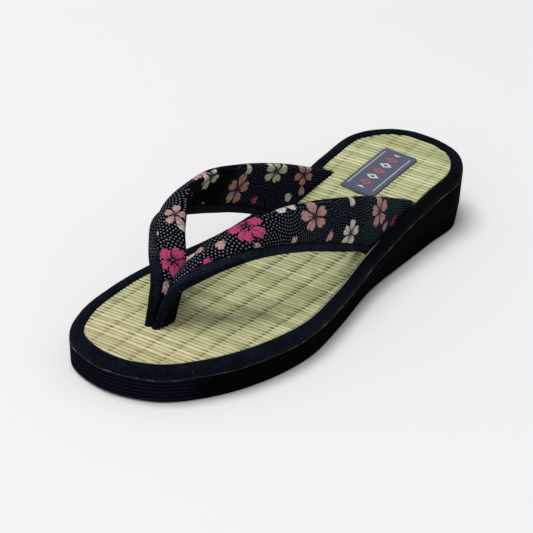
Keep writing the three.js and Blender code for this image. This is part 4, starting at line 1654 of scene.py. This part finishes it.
@dataclass
class Seam:
    """Thin thread that shows in the seam between the binding and the sole."""

    bed: Footbed
    radius: float = 0.24 * MM
    inset: float = 0.22 * MM
    sides: int = 8

    def build(self, thread: bpy.types.Material) -> None:
        """Makes the thread as one closed ring."""
        rings = [
            self.bed.ring(
                self.inset - self.radius * math.cos(turn),
                lambda y, turn=turn: self.bed.seam_height(y) + self.radius * math.sin(turn),
            )
            for turn in np.linspace(0, math.tau, self.sides + 1)[:-1]
        ]
        band = np.stack([*rings, rings[0]])
        run = run_of(band[0])
        band[..., 2] += (0.18 * MM * np.sin(run / (5.1 * MM)) + 0.1 * MM * np.sin(run / (1.9 * MM)))[None]
        finish_piece(wrap_grid("seam_thread", close_round(band)), thread, "navy_velvet")


# Camera, light and floor


@dataclass(frozen=True)
class Studio:
    """Camera at the photograph's angle, soft light and a plain pale floor."""

    frame_px: float = 533
    focal_px: float = 2257.2
    sensor: float = 36
    azimuth: float = 32.86
    elevation: float = 29.01
    roll: float = 4.29
    distance: float = 979.3 * MM
    aim_height: float = 24.49 * MM
    slide: tuple[float, float] = (-7.9 * MM, -13.1 * MM)
    shift: float = -2.78 * MM
    lamp_aim: float = 20 * MM
    ambient: float = 0.36
    floor_size: float = 12

    def camera(self) -> None:
        """Adds the camera."""
        a, e, roll = (math.radians(angle) for angle in (self.azimuth, self.elevation, self.roll))
        back = Vector((math.sin(a) * math.cos(e), -math.cos(a) * math.cos(e), math.sin(e)))
        right = (-back).cross(Vector((0, 0, 1))).normalized()
        up = right.cross(-back)
        turned = math.cos(roll) * right + math.sin(roll) * up
        upright = -math.sin(roll) * right + math.cos(roll) * up
        place = Vector((self.shift, 0, self.aim_height)) + self.distance * back
        place += self.slide[0] * turned + self.slide[1] * upright
        deselect()
        bpy.ops.object.camera_add(location=place)
        camera = bpy.context.object
        camera.rotation_euler = Matrix((turned, upright, back)).transposed().to_euler()
        camera.data.lens = self.focal_px / self.frame_px * self.sensor
        camera.data.sensor_width = self.sensor
        camera.data.dof.use_dof = False
        camera.data.clip_start = 0.01
        bpy.context.scene.camera = camera

    def lamp(self, name: str, place: tuple[float, float, float], size: float, power: float) -> None:
        """Adds a soft square lamp that faces the sandal."""
        deselect()
        bpy.ops.object.light_add(type="AREA", location=place)
        lamp = bpy.context.object
        lamp.name = name
        away = Vector(place) - Vector((0, 0, self.lamp_aim))
        lamp.rotation_euler = away.to_track_quat("Z", "Y").to_euler()
        lamp.data.shape = "SQUARE"
        lamp.data.size = size
        lamp.data.energy = power

    def floor(self, paint: bpy.types.Material) -> None:
        """Adds the floor, which isn't part of the sandal."""
        deselect()
        bpy.ops.mesh.primitive_plane_add(size=self.floor_size, location=(0, 0, 0))
        floor = bpy.context.object
        floor.name = "floor"
        floor.data.materials.append(paint)

    def build(self, paint: bpy.types.Material) -> None:
        """Adds the camera, the light and the floor."""
        bpy.context.scene.view_settings.view_transform = "Standard"
        self.camera()
        self.lamp("key", (-0.75, -0.6, 3.7), 1.9, 92)
        self.lamp("front", (1.4, -3.2, 2.6), 3.2, 44)
        world = bpy.data.worlds.new("studio")
        world.use_nodes = True
        world.node_tree.nodes["Background"].inputs["Color"].default_value = (1.0, 1.0, 1.0, 1.0)
        world.node_tree.nodes["Background"].inputs["Strength"].default_value = self.ambient
        bpy.context.scene.world = world
        self.floor(paint)


def main() -> None:
    """Builds the studio and the sandal's pieces in order."""
    logging.basicConfig(level=logging.INFO, format="%(name)s %(message)s")
    groups = Groups()
    Studio().build(FloorPaint(groups, "floor_pale").material)
    bed = Footbed()
    sole = Sole(bed)
    label = Label(bed)
    strap = Strap(bed)
    mat = Mat(bed, strap)
    sole.build(Foam(groups, "sole_foam", sole).material)
    Binding(bed).build(BindingPile(groups, "navy_velvet").material)
    mat.build(Rush(groups, "rush", mat.row_pitch / MM).material)
    cloth = LabelCloth(groups, "label_cloth", label.width / MM, label.length / MM).material
    label.build(cloth, Thread(groups, "label_thread", (0.22, 0.235, 0.30), (0.12, 0.13, 0.18), 1.0).material)
    strap.build(groups)
    pale = Thread(groups, "seam_thread_pale", (0.115, 0.12, 0.12), (0.006, 0.007, 0.01), 0.17)
    Seam(bed).build(pale.material)
    board = Board(groups, "board_fibre").material
    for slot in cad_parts["footbed_board"].material_slots:
        slot.material = board


if __name__ == "__main__":
    main()
